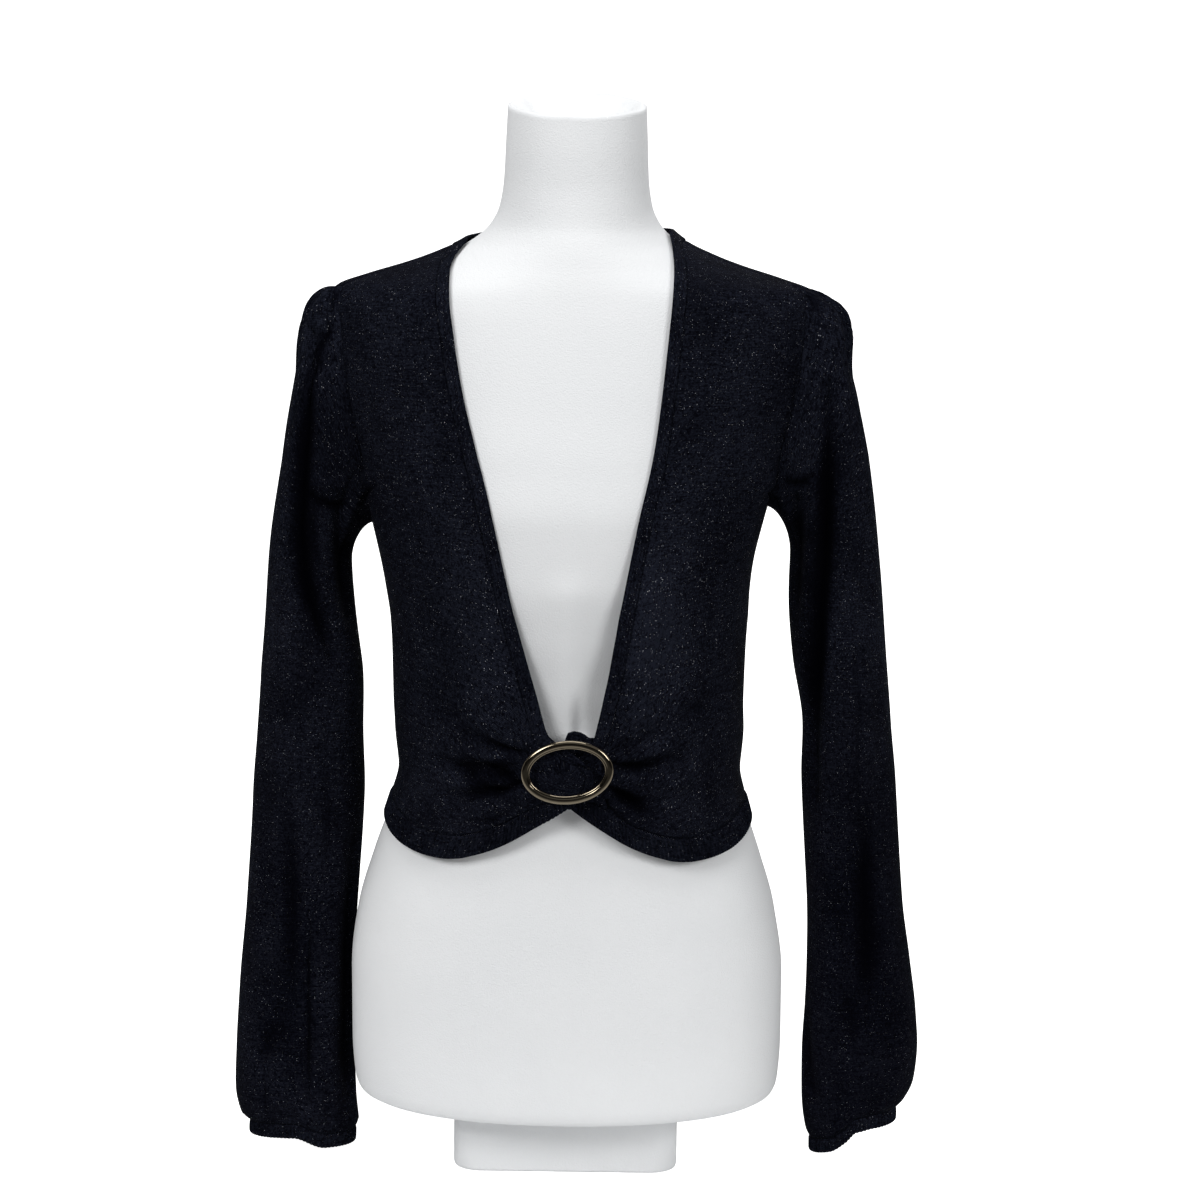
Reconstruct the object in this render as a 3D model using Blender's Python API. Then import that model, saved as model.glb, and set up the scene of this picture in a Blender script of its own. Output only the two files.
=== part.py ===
"""A cropped knitted cardigan with a ring front, worn on a limbless dress form.

The frame is in metres: +X is the wearer's left, -Y is the front and +Z is up.
The origin is the centre of the underside of the foot that the form stands on.
Each cut and sewn piece is its own closed solid.
"""

from collections import namedtuple

import bpy
import numpy as np

# Cloth
CLOTH = 0.0012              # thickness of the knitted panels
BAND = 0.0018               # the doubled band round the front edge and neck
RIB_VALLEY = 0.0013         # thickness of the hem between its ribs
RIB_CREST = 0.0022          # and on a rib
SEAM = 0.0003               # gap between two pieces at their seam
BAND_WIDTH = 0.0100
HEM_DEPTH = 0.0170          # height of the ribbed hem
HEM_DRAWN_IN = 0.0080       # and where it is gathered behind the ring
CUFF_DEPTH = 0.0110

# Dress form
FORM_BASE = 0.0525          # height of the form's flat underside
NECK_TILT = 0.19            # rise of the neck's top from front to back
DISH_DEPTH = 0.014
FOOT_HALF_WIDTH = 0.085
FOOT_FRONT = -0.045
FOOT_BACK = 0.090

# Ring
RING_CENTRE = (-0.0005, 0.3235)
RING_HALF_WIDTH = 0.0343
RING_HALF_HEIGHT = 0.0239
RING_BAND = 0.0064
RING_THICKNESS = 0.0042
RING_TILT = np.radians(5.5)
RING_BACK = -0.1127         # the plane of the ring's back, just off the cloth

# The tab that holds the ring, behind the left front
LOOP_ACROSS = (-0.0030, 0.0160)
LOOP_FOOT = 0.3200
LOOP_TOP = 0.3515
LOOP_BEHIND = 0.0041

# Cuffs
CUFF_TAPER = 0.985
CUFF_WAVE = {-1: 0.0015, 1: 0.0015}     # rise of the cuff's seam at the front and behind

UNDERARM_FULLNESS = 0.85    # how far a sleeve bellies out under the arm before it falls
CROWDING = 0.5              # how far a front's mesh draws together towards the ring
BACK_NECK = 0.7085          # height of the neck edge at the middle of the back
NECKLINE_FALL = 0.9

RIGHT, LEFT, BEHIND = -1, 1, 0      # the wearer's sides
SIDE_NAME = {RIGHT: "right", LEFT: "left"}
TINY = 1e-4

# Horizontal sections of the form. Taper narrows a section towards its sides.
FormSection = namedtuple("FormSection", "height half_width front back taper")
FORM = (
    FormSection(FORM_BASE, 0.1530, 0.0900, 0.0940, -0.10),
    FormSection(0.0560, 0.1585, 0.0950, 0.0990, -0.10),
    FormSection(0.0650, 0.1618, 0.0985, 0.1030, -0.10),
    FormSection(0.1000, 0.1640, 0.1010, 0.1080, -0.10),
    FormSection(0.1500, 0.1640, 0.1030, 0.1110, -0.10),
    FormSection(0.2000, 0.1578, 0.1010, 0.1050, -0.10),
    FormSection(0.2400, 0.1463, 0.0970, 0.0950, -0.08),
    FormSection(0.2800, 0.1325, 0.0920, 0.0850, -0.06),
    FormSection(0.3100, 0.1232, 0.0890, 0.0790, -0.04),
    FormSection(0.3400, 0.1220, 0.0880, 0.0760, -0.03),
    FormSection(0.3800, 0.1236, 0.0930, 0.0790, -0.04),
    FormSection(0.4200, 0.1278, 0.1030, 0.0850, -0.06),
    FormSection(0.4600, 0.1334, 0.1120, 0.0905, -0.08),
    FormSection(0.5000, 0.1420, 0.1130, 0.0935, -0.08),
    FormSection(0.5400, 0.1536, 0.1056, 0.0946, -0.05),
    FormSection(0.5800, 0.1676, 0.0951, 0.0939, 0.00),
    FormSection(0.6200, 0.1768, 0.0848, 0.0916, 0.05),
    FormSection(0.6450, 0.1778, 0.0784, 0.0880, 0.12),
    FormSection(0.6580, 0.1724, 0.0748, 0.0858, 0.18),
    FormSection(0.6650, 0.1635, 0.0728, 0.0844, 0.24),
    FormSection(0.6725, 0.1417, 0.0704, 0.0822, 0.31),
    FormSection(0.6810, 0.1163, 0.0674, 0.0792, 0.36),
    FormSection(0.6900, 0.0948, 0.0644, 0.0752, 0.37),
    FormSection(0.6985, 0.0773, 0.0612, 0.0708, 0.32),
    FormSection(0.7100, 0.0636, 0.0567, 0.0668, 0.20),
    FormSection(0.7250, 0.0560, 0.0540, 0.0600, 0.05),
    FormSection(0.7450, 0.0530, 0.0520, 0.0560, 0.00),
    FormSection(0.7700, 0.0519, 0.0515, 0.0535, 0.00),
    FormSection(0.7970, 0.0507, 0.0500, 0.0520, 0.00),
)

# How far the inside of the cloth stands off the form.
Ease = namedtuple("Ease", "height side front back")
EASE = (
    Ease(0.2400, 0.0014, 0.0100, 0.0050),
    Ease(0.2700, 0.0014, 0.0118, 0.0060),
    Ease(0.3000, 0.0034, 0.0148, 0.0100),
    Ease(0.3400, 0.0083, 0.0178, 0.0120),
    Ease(0.3800, 0.0073, 0.0138, 0.0090),
    Ease(0.4200, 0.0048, 0.0058, 0.0050),
    Ease(0.4600, 0.0038, 0.0024, 0.0035),
    Ease(0.5000, 0.0043, 0.0018, 0.0035),
    Ease(0.5600, 0.0042, 0.0024, 0.0046),
    Ease(0.6200, 0.0050, 0.0030, 0.0052),
    Ease(0.6500, 0.0056, 0.0036, 0.0058),
    Ease(0.6580, 0.0076, 0.0036, 0.0060),
    Ease(0.6725, 0.0108, 0.0036, 0.0060),
    Ease(0.6900, 0.0058, 0.0036, 0.0058),
    Ease(0.7100, 0.0046, 0.0036, 0.0046),
)

# How far the body leans to the wearer's left.
LEAN = (
    (0.0525, 0.0000), (0.1500, -0.0008), (0.2000, -0.0015), (0.2400, -0.0015), (0.2800, -0.0010),
    (0.3000, -0.0006), (0.3350, -0.0010), (0.3600, -0.0020), (0.4200, -0.0022), (0.4450, -0.0036),
    (0.4770, -0.0046), (0.5000, -0.0046), (0.5400, -0.0030), (0.6000, -0.0012), (0.6600, -0.0008),
    (0.7970, -0.0007),
)

# The front edges of the V, measured out from the middle.
EdgePoint = namedtuple("EdgePoint", "height out")
FRONT_EDGE = {
    RIGHT: (
        EdgePoint(0.3056, -0.0140), EdgePoint(0.3130, -0.0175), EdgePoint(0.3210, -0.0185),
        EdgePoint(0.3280, -0.0150),
        EdgePoint(0.3370, -0.0045), EdgePoint(0.3430, 0.0032), EdgePoint(0.3510, 0.0126),
        EdgePoint(0.3620, 0.0167), EdgePoint(0.3830, 0.0228),
        EdgePoint(0.4270, 0.0350), EdgePoint(0.4700, 0.0435), EdgePoint(0.5130, 0.0535),
        EdgePoint(0.5540, 0.0664), EdgePoint(0.5955, 0.0783), EdgePoint(0.6370, 0.0860),
        EdgePoint(0.6580, 0.0890), EdgePoint(0.6780, 0.0898), EdgePoint(0.6870, 0.0876),
        EdgePoint(0.6940, 0.0828), EdgePoint(0.6995, 0.0780),
    ),
    LEFT: (
        EdgePoint(0.3056, -0.0060), EdgePoint(0.3140, -0.0060), EdgePoint(0.3220, -0.0035),
        EdgePoint(0.3300, 0.0040),
        EdgePoint(0.3370, 0.0120), EdgePoint(0.3440, 0.0178), EdgePoint(0.3510, 0.0206),
        EdgePoint(0.3840, 0.0270),
        EdgePoint(0.4280, 0.0342), EdgePoint(0.4720, 0.0447), EdgePoint(0.5145, 0.0534),
        EdgePoint(0.5560, 0.0604), EdgePoint(0.5980, 0.0646), EdgePoint(0.6396, 0.0685),
        EdgePoint(0.6605, 0.0703), EdgePoint(0.6820, 0.0714), EdgePoint(0.6935, 0.0706),
        EdgePoint(0.7020, 0.0692), EdgePoint(0.7080, 0.0680),
    ),
}

# The hem's lower edge, by the angle round the body from the middle of the front.
HemPoint = namedtuple("HemPoint", "degrees height")
HEM = (
    HemPoint(0.0, 0.2973), HemPoint(5.0, 0.2890), HemPoint(10.0, 0.2812),
    HemPoint(18.0, 0.2690), HemPoint(23.0, 0.2630), HemPoint(28.0, 0.2585),
    HemPoint(34.0, 0.2545), HemPoint(40.0, 0.2532), HemPoint(46.0, 0.2537),
    HemPoint(58.0, 0.2570), HemPoint(66.0, 0.2605), HemPoint(78.0, 0.2660),
    HemPoint(90.0, 0.2690), HemPoint(180.0, 0.2700),
)

# Places on each side of the garment. The seam angles are in degrees from the front.
Side = namedtuple("Side", "underarm shoulder_seam shoulder_point side_seam_top side_seam_hem "
                          "armhole_front armhole_back head_fullness gathers")
SIDES = {
    RIGHT: Side(0.4900, 76.0, 0.1700, 88.0, 70.0, 13.0, 15.0, 0.75, 0.0011),
    LEFT: Side(0.5060, 76.0, 0.1560, 88.0, 86.0, 15.0, 16.0, 1.20, 0.0011),
}

# Soft folds of the body, as lines in the front or back view. A positive depth is a trough.
Crease = namedtuple("Crease", "x1 z1 x2 z2 width depth")
CREASES = {
    RIGHT: (
        Crease(-0.030, 0.334, -0.075, 0.346, 0.0060, 0.0026),
        Crease(-0.032, 0.324, -0.095, 0.322, 0.0060, 0.0034),
        Crease(-0.030, 0.313, -0.085, 0.298, 0.0055, 0.0032),
        Crease(-0.034, 0.329, -0.070, 0.334, 0.0050, -0.0022),
        Crease(-0.034, 0.318, -0.085, 0.309, 0.0055, -0.0030),
        Crease(-0.028, 0.307, -0.065, 0.288, 0.0055, -0.0024),
        Crease(-0.126, 0.538, -0.140, 0.520, 0.0130, -0.0035),
        Crease(-0.108, 0.500, -0.138, 0.498, 0.0080, 0.0012),
        Crease(-0.085, 0.455, -0.100, 0.330, 0.0160, 0.0020),
        Crease(-0.062, 0.420, -0.058, 0.360, 0.0140, -0.0025),
    ),
    LEFT: (
        Crease(0.032, 0.336, 0.062, 0.352, 0.0060, 0.0024),
        Crease(0.034, 0.328, 0.080, 0.330, 0.0055, 0.0030),
        Crease(0.030, 0.312, 0.062, 0.289, 0.0055, 0.0038),
        Crease(0.036, 0.332, 0.072, 0.341, 0.0050, -0.0022),
        Crease(0.034, 0.320, 0.082, 0.312, 0.0060, -0.0030),
        Crease(0.024, 0.306, 0.044, 0.288, 0.0050, -0.0018),
        Crease(0.116, 0.544, 0.138, 0.528, 0.0130, -0.0035),
        Crease(0.100, 0.520, 0.136, 0.512, 0.0080, 0.0012),
        Crease(0.052, 0.440, 0.046, 0.365, 0.0150, -0.0045),
        Crease(0.090, 0.450, 0.102, 0.335, 0.0160, 0.0020),
    ),
    BEHIND: (
        Crease(-0.112, 0.545, -0.136, 0.512, 0.0120, -0.0045),
        Crease(0.112, 0.555, 0.136, 0.526, 0.0120, -0.0045),
        Crease(-0.052, 0.400, -0.066, 0.285, 0.0150, -0.0035),
        Crease(0.034, 0.420, 0.050, 0.290, 0.0160, -0.0040),
        Crease(0.094, 0.380, 0.106, 0.290, 0.0130, -0.0030),
        Crease(-0.012, 0.360, -0.020, 0.280, 0.0130, 0.0030),
    ),
}

# Level sections of each sleeve below its head.
SleeveSection = namedtuple("SleeveSection", "height out forward half_width half_depth lean")
SLEEVE = {
    RIGHT: (
        SleeveSection(0.0205, 0.2043, 0.012, 0.0397, 0.0300, -0.02),
        SleeveSection(0.0270, 0.2065, 0.012, 0.0445, 0.0330, -0.02),
        SleeveSection(0.0460, 0.2094, 0.012, 0.0454, 0.0350, 0.00),
        SleeveSection(0.0800, 0.2100, 0.012, 0.0440, 0.0350, 0.00),
        SleeveSection(0.1300, 0.2085, 0.011, 0.0425, 0.0350, 0.00),
        SleeveSection(0.2000, 0.2035, 0.009, 0.0412, 0.0350, 0.00),
        SleeveSection(0.2800, 0.1983, 0.006, 0.0412, 0.0345, 0.00),
        SleeveSection(0.3300, 0.1968, 0.004, 0.0388, 0.0360, 0.00),
        SleeveSection(0.3750, 0.1952, 0.002, 0.0372, 0.0380, 0.00),
        SleeveSection(0.4180, 0.1960, 0.000, 0.0325, 0.0400, 0.00),
        SleeveSection(0.4600, 0.1965, -0.002, 0.0298, 0.0410, 0.00),
    ),
    LEFT: (
        SleeveSection(0.0275, 0.2218, 0.008, 0.0318, 0.0290, 0.30),
        SleeveSection(0.0345, 0.2232, 0.008, 0.0367, 0.0325, 0.26),
        SleeveSection(0.0560, 0.2248, 0.008, 0.0419, 0.0345, 0.14),
        SleeveSection(0.0860, 0.2255, 0.008, 0.0432, 0.0350, 0.05),
        SleeveSection(0.1150, 0.2251, 0.008, 0.0416, 0.0350, 0.00),
        SleeveSection(0.1570, 0.2225, 0.008, 0.0383, 0.0355, 0.00),
        SleeveSection(0.2050, 0.2182, 0.007, 0.0353, 0.0360, 0.00),
        SleeveSection(0.2980, 0.2109, 0.005, 0.0345, 0.0375, 0.00),
        SleeveSection(0.3450, 0.2079, 0.003, 0.0322, 0.0385, 0.00),
        SleeveSection(0.3900, 0.2015, 0.001, 0.0340, 0.0390, 0.00),
        SleeveSection(0.4350, 0.1968, 0.000, 0.0346, 0.0400, 0.00),
        SleeveSection(0.4700, 0.1955, -0.002, 0.0318, 0.0410, 0.00),
    ),
}

# The line down the middle of each sleeve's head, between the shoulder and its sections.
HEAD_LINE = {
    RIGHT: ((0.1785, 0.6635), (0.1850, 0.6605), (0.1918, 0.6520), (0.1990, 0.6310), (0.2045, 0.6000),
            (0.2110, 0.5643), (0.2160, 0.5300), (0.2220, 0.4950)),
    LEFT: ((0.1700, 0.6650), (0.1820, 0.6573), (0.1890, 0.6480), (0.1920, 0.6370), (0.1978, 0.6146),
           (0.2045, 0.5950), (0.2110, 0.5703), (0.2184, 0.5350)),
}

# How far each sleeve's foot rises, from its inner side (-1) to its outer side (1).
CUFF_RISE = {
    RIGHT: ((-1.0, -0.0048), (-0.5, -0.0048), (0.1, 0.0035), (1.0, 0.0035)),
    LEFT: ((-1.0, -0.0025), (-0.6, -0.0025), (-0.3, 0.0015), (0.0, 0.0080), (1.0, 0.0050)),
}

# Long folds of the sleeves: degrees run from the outer side to the front (90) and the body.
SleeveFold = namedtuple("SleeveFold", "degrees_top top degrees_foot foot width depth")
SLEEVE_FOLDS = {
    RIGHT: (
        SleeveFold(62.0, 0.600, 78.0, 0.440, 20.0, 0.0055),
        SleeveFold(100.0, 0.420, 70.0, 0.330, 20.0, 0.0030),
        SleeveFold(75.0, 0.260, 95.0, 0.060, 20.0, 0.0032),
        SleeveFold(235.0, 0.500, 250.0, 0.300, 22.0, 0.0045),
        SleeveFold(295.0, 0.360, 285.0, 0.060, 22.0, 0.0040),
    ),
    LEFT: (
        SleeveFold(78.0, 0.580, 88.0, 0.360, 20.0, 0.0055),
        SleeveFold(60.0, 0.330, 92.0, 0.120, 20.0, 0.0030),
        SleeveFold(240.0, 0.520, 252.0, 0.320, 22.0, 0.0045),
        SleeveFold(290.0, 0.380, 280.0, 0.080, 22.0, 0.0040),
    ),
}

# Mesh fineness
FORM_SEGMENTS = 32
FRONT_COLUMNS = 15
EDGE_ROWS = 26
SIDE_ROWS = 13
ARMHOLE_ROWS = EDGE_ROWS - SIDE_ROWS
BAND_COLUMNS = 2
BACK_COLUMNS = (6, 11, 6)           # shoulder, neck, shoulder
RIBS_A_COLUMN = 2
RING_SEGMENTS = 40
RING_SIDES = 8
HEAD_ROWS = 9
TUBE_ROWS = 11
FINE = 400                          # points of a curve before it is spaced evenly


def smooth_curve(places, values):
    """A monotone cubic through the points, held level past its ends."""
    places = np.asarray(places, float)
    values = np.asarray(values, float)
    steps = np.diff(places)
    slopes = np.diff(values) / steps
    tangents = np.concatenate([slopes[:1], np.zeros(len(slopes) - 1), slopes[-1:]])
    before, after = slopes[:-1], slopes[1:]
    rising = before * after > 0
    weight_before = 2 * steps[1:] + steps[:-1]
    weight_after = steps[1:] + 2 * steps[:-1]
    total = weight_before + weight_after
    inner = np.zeros(len(before))
    inner[rising] = total[rising] / (weight_before[rising] / before[rising]
                                     + weight_after[rising] / after[rising])
    tangents[1:-1] = inner

    def curve(place):
        place = np.clip(place, places[0], places[-1])
        k = np.clip(np.searchsorted(places, place, side="right") - 1, 0, len(steps) - 1)
        u = (place - places[k]) / steps[k]
        return ((1 + 2 * u) * (1 - u) ** 2 * values[k] + u * (1 - u) ** 2 * steps[k] * tangents[k]
                + u * u * (3 - 2 * u) * values[k + 1] - u * u * (1 - u) * steps[k] * tangents[k + 1])

    return curve


def columns(table):
    """One smooth curve for each column of a table, against its first column."""
    rows = np.array(table, float)
    return [smooth_curve(rows[:, 0], rows[:, k]) for k in range(1, rows.shape[1])]


def ramp(value, low, high):
    """0 below low, 1 above high, smooth between."""
    u = np.clip((value - low) / (high - low), 0.0, 1.0)
    return u * u * (3 - 2 * u)


def unit(vectors):
    return vectors / np.linalg.norm(vectors, axis=-1, keepdims=True)


FORM_COLUMNS = columns(FORM)
EASE_COLUMNS = columns(EASE)
HEM_CURVE = columns(HEM)[0]
SLEEVE_COLUMNS = {side: columns(table) for side, table in SLEEVE.items()}
LEAN_CURVE = columns(LEAN)[0]
CUFF_RISE_CURVE = {side: columns(table)[0] for side, table in CUFF_RISE.items()}


def half_width(height, worn):
    """Half the width of the form, or of the worn cloth's inside, at a height."""
    return FORM_COLUMNS[0](height) + worn * EASE_COLUMNS[0](height)


def torso(angle, height, worn=1.0):
    """Points of the form (worn 0) or of the inside of the cloth on it (worn 1).

    The angle is 0 at the front, 90 degrees at the wearer's left and 180 behind.
    """
    angle, height = np.broadcast_arrays(np.asarray(angle, float), np.asarray(height, float))
    _, front, back, taper = (curve(height) for curve in FORM_COLUMNS)
    _, ease_front, ease_back = (curve(height) for curve in EASE_COLUMNS)
    ahead = np.cos(angle) > 0
    depth = np.where(ahead, front + worn * ease_front, back + worn * ease_back)
    x = LEAN_CURVE(height) + half_width(height, worn) * np.sin(angle)
    y = -depth * np.cos(angle) * (1 - taper * np.sin(angle) ** 2)
    z = height + NECK_TILT * y * ramp(height, 0.700, 0.800)
    return np.stack([x, y, z], axis=-1)


def torso_normal(angle, height):
    """The outward normal of the worn cloth."""
    across = torso(angle + TINY, height) - torso(angle - TINY, height)
    up = torso(angle, height + TINY) - torso(angle, height - TINY)
    return unit(np.cross(across, up))


def segment_distance(x, z, crease):
    """Distance of points from the crease's line, in the front view."""
    run_x, run_z = crease.x2 - crease.x1, crease.z2 - crease.z1
    along = ((x - crease.x1) * run_x + (z - crease.z1) * run_z) / (run_x ** 2 + run_z ** 2)
    along = np.clip(along, 0.0, 1.0)
    return np.hypot(x - crease.x1 - along * run_x, z - crease.z1 - along * run_z)


def beside_seam(angle, height):
    """0 at the side seam and 1 away from it, so that both sides of the seam lie alike."""
    turn = np.arctan2(np.sin(angle), np.cos(angle))
    near = np.zeros_like(height)
    for side in (RIGHT, LEFT):
        apart = np.abs(turn - side_angle(side, height))
        below = 1 - ramp(height, SIDES[side].underarm, SIDES[side].underarm + 0.02)
        near += (1 - ramp(apart, 0.01, 0.13)) * below
    return 1 - near


def relief(points, places, side):
    """How far folds, and the fronts' crossing behind the ring, move the cloth outwards."""
    x, z = points[..., 0], points[..., 2]
    height = np.zeros_like(x)
    for crease in CREASES[side]:
        height -= crease.depth * np.exp(-(segment_distance(x, z, crease) / crease.width) ** 2)
    height *= beside_seam(places[..., 0], places[..., 1])
    at_ring = ramp(z, 0.280, 0.300) * (1 - ramp(z, 0.350, 0.375))
    if side == RIGHT:
        height += 0.0048 * at_ring * ramp(x, -0.040, -0.014)
    if side == LEFT:
        height -= 0.0020 * at_ring * (1 - ramp(x, 0.018, 0.034))
        height += 0.0050 * (1 - ramp(x, 0.036, 0.070)) * ramp(z, 0.360, 0.400) * (1 - ramp(z, 0.440, 0.520))
    return height


def draped(places, side):
    """Inside points of the cloth at (angle, height) places, with its folds."""
    angle, height = places[..., 0], places[..., 1]
    base = torso(angle, height)
    return base + torso_normal(angle, height) * relief(base, places, side)[..., None]


def draped_normals(places, side):
    """Outward normals of the draped cloth at its places."""
    turn, rise = np.array([0.004, 0.0]), np.array([0.0, 0.0006])
    across = draped(places + turn, side) - draped(places - turn, side)
    up = draped(places + rise, side) - draped(places - rise, side)
    return unit(np.cross(across, up))


def angle_at(across, height):
    """The angle at which the front of the cloth lies this far across from the middle."""
    return np.arcsin(across / half_width(height, 1.0))


def shoulder_height(out, angle):
    """The height at which the shoulder slope reaches this far out, at a seam's angle."""
    heights = np.linspace(0.646, 0.715, FINE)
    reach = half_width(heights, 1.0) * np.sin(angle)
    return np.interp(-np.asarray(out, float), -reach, heights)


def spaced(places, count, crowding=0.0):
    """The same run of (angle, height) places, with count of them along the cloth.

    They are even with no crowding, and closer at the start with some.
    """
    steps = np.linalg.norm(np.diff(torso(places[:, 0], places[:, 1]), axis=0), axis=1)
    run = np.concatenate([[0.0], np.cumsum(steps)])
    even = np.linspace(0.0, 1.0, count)
    at = run[-1] * even * (1 - crowding + crowding * even)
    return np.stack([np.interp(at, run, places[:, 0]), np.interp(at, run, places[:, 1])], axis=1)


def joined(first, second):
    """Two runs of places that share a corner, as one."""
    return np.concatenate([first, second[1:]])


PROFILE_HEIGHTS = np.linspace(0.230, 0.720, 4 * FINE)
PROFILE_RUN = np.concatenate([[0.0], np.cumsum(np.hypot(np.diff(half_width(PROFILE_HEIGHTS, 1.0)),
                                                        np.diff(PROFILE_HEIGHTS)))])


def patch(start, end, foot, top, hold=1.0):
    """A Coons patch of (angle, height) places between four edges.

    It is laid out by the angle and the distance up the side of the body, which runs evenly
    over the shoulders too. More hold lets the foot's spacing carry on further up.
    """
    start, end, foot, top = (np.stack([edge[:, 0], np.interp(edge[:, 1], PROFILE_HEIGHTS, PROFILE_RUN)],
                                      axis=1) for edge in (start, end, foot, top))
    up = np.linspace(0, 1, len(start))[:, None, None] ** hold
    across = np.linspace(0, 1, len(foot))[None, :, None]
    ruled_across = (1 - across) * start[:, None] + across * end[:, None]
    ruled_up = (1 - up) * foot[None] + up * top[None]
    corners = ((1 - up) * ((1 - across) * start[0] + across * end[0])
               + up * ((1 - across) * start[-1] + across * end[-1]))
    places = ruled_across + ruled_up - corners
    places[..., 1] = np.interp(places[..., 1], PROFILE_RUN, PROFILE_HEIGHTS)
    return places


def grid_normals(grid, closed):
    """Outward normals of a grid whose columns turn left and whose rows rise."""
    if closed:
        along = np.roll(grid, -1, axis=1) - np.roll(grid, 1, axis=1)
    else:
        along = np.gradient(grid, axis=1)
    return unit(np.cross(along, np.gradient(grid, axis=0)))


def make_object(name, vertices, faces, material, smooth=True):
    """One named object from points and faces, shaded smooth with sharp rims."""
    mesh = bpy.data.meshes.new(name)
    mesh.from_pydata(vertices.tolist(), [], faces)
    mesh.materials.append(material)
    mesh.update()
    if smooth:
        mesh.shade_smooth()
        mesh.set_sharp_from_angle(angle=np.radians(50))
    made = bpy.data.objects.new(name, mesh)
    bpy.context.scene.collection.objects.link(made)
    return made


def wall(name, inner, normals, thickness, material, closed=False):
    """A cloth wall on a grid of inside points, its outer points moved out by thickness."""
    outer = inner + normals * np.broadcast_to(thickness, inner.shape[:2])[..., None]
    rows, cols = inner.shape[:2]
    number = np.arange(rows * cols).reshape(rows, cols)
    if closed:
        number = np.concatenate([number, number[:, :1]], axis=1)
    shift = rows * cols
    vertices = np.concatenate([inner.reshape(-1, 3), outer.reshape(-1, 3)])
    sheet = cells(number, vertices)
    faces = [sheet + shift, sheet[:, ::-1]]
    rims = [number[0], number[-1][::-1]]
    if not closed:
        rims += [number[::-1, 0], number[:, -1]]
    faces += [cells(np.stack([rim, rim + shift]), vertices) for rim in rims]
    return make_object(name, vertices, np.concatenate(faces).tolist(), material)


def cells(number, points):
    """Two triangles for each cell of a grid of point numbers, split across its shorter way."""
    low, high = number[:-1], number[1:]
    a, b, c, d = (corner.ravel() for corner in (low[:, :-1], low[:, 1:], high[:, 1:], high[:, :-1]))
    one_way = np.linalg.norm(points[a] - points[c], axis=1) <= np.linalg.norm(points[b] - points[d], axis=1)
    first = np.stack([a, b, np.where(one_way, c, d)], axis=1)
    second = np.stack([np.where(one_way, a, b), c, d], axis=1)
    return np.concatenate([first, second])


def panel(name, places, side, thickness, material):
    """A wall of draped cloth on a grid of places whose columns turn left and whose rows rise."""
    wall(name, draped(places, side), draped_normals(places, side), thickness, material)


def material(name, colour, roughness, metallic=0.0):
    made = bpy.data.materials.new(name)
    made.use_nodes = True
    shader = made.node_tree.nodes["Principled BSDF"]
    shader.inputs["Base Color"].default_value = (*colour, 1.0)
    shader.inputs["Roughness"].default_value = roughness
    shader.inputs["Metallic"].default_value = metallic
    return made


def edge_reach(side):
    """How far out from the middle the front edge meets the shoulder seam."""
    seam = np.radians(SIDES[side].shoulder_seam)
    return half_width(FRONT_EDGE[side][-1].height, 1.0) * np.sin(seam)


def edge_places(side, inset):
    """Places along a line this far out from the front edge, up to the shoulder seam."""
    table = FRONT_EDGE[side]
    seam = np.radians(SIDES[side].shoulder_seam) - seam_angle(SEAM / 2)
    outs = [point.out for point in table[:-1]] + [edge_reach(side)]
    heights = np.linspace(table[0].height, table[-1].height, FINE)
    out = smooth_curve([point.height for point in table], outs)(heights)
    angle = angle_at(out, heights)
    turned = torso(angle + TINY, heights) - torso(angle - TINY, heights)
    reach_per_angle = np.linalg.norm(turned, axis=1) / (2 * TINY)
    slant = np.hypot(1.0, np.gradient(out, heights))
    drawn_in = 0.62 + 0.38 * ramp(heights, 0.318, 0.360)
    angle = angle + inset * slant * drawn_in / reach_per_angle
    corner = np.array([seam, shoulder_height(edge_reach(side) + inset, seam)])
    kept = (angle < seam - 0.02) & (heights < corner[1] - 0.002)
    places = np.concatenate([np.stack([angle[kept], heights[kept]], axis=1), corner[None]])
    return places * (side, 1)


def edge_run(side, inset):
    """The same line as the points that the band and the front share."""
    return spaced(edge_places(side, inset), EDGE_ROWS + 1, CROWDING)


def shifted(run, gap):
    """A run of places moved sideways on the cloth by a gap: to the right of its own direction."""
    points, normals = torso(run[:, 0], run[:, 1]), torso_normal(run[:, 0], run[:, 1])
    along = np.gradient(points, axis=0)
    aside = unit(np.cross(along, normals)) * gap
    turn = torso(run[:, 0] + TINY, run[:, 1]) - torso(run[:, 0] - TINY, run[:, 1])
    rise = torso(run[:, 0], run[:, 1] + TINY) - torso(run[:, 0], run[:, 1] - TINY)
    tt, rr, tr = (turn * turn).sum(1), (rise * rise).sum(1), (turn * rise).sum(1)
    at, ar = (aside * turn).sum(1), (aside * rise).sum(1)
    det = (tt * rr - tr * tr) / (2 * TINY)
    return run + np.stack([(at * rr - ar * tr) / det, (ar * tt - at * tr) / det], axis=1)


def side_angle(side, height):
    """The side seam's angle, which swings forwards towards the hem."""
    place = SIDES[side]
    fall = np.clip((place.underarm - height) / (place.underarm - HEM[-2].height), 0.0, 1.0)
    return side * np.radians(place.side_seam_top + (place.side_seam_hem - place.side_seam_top) * fall)


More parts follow.
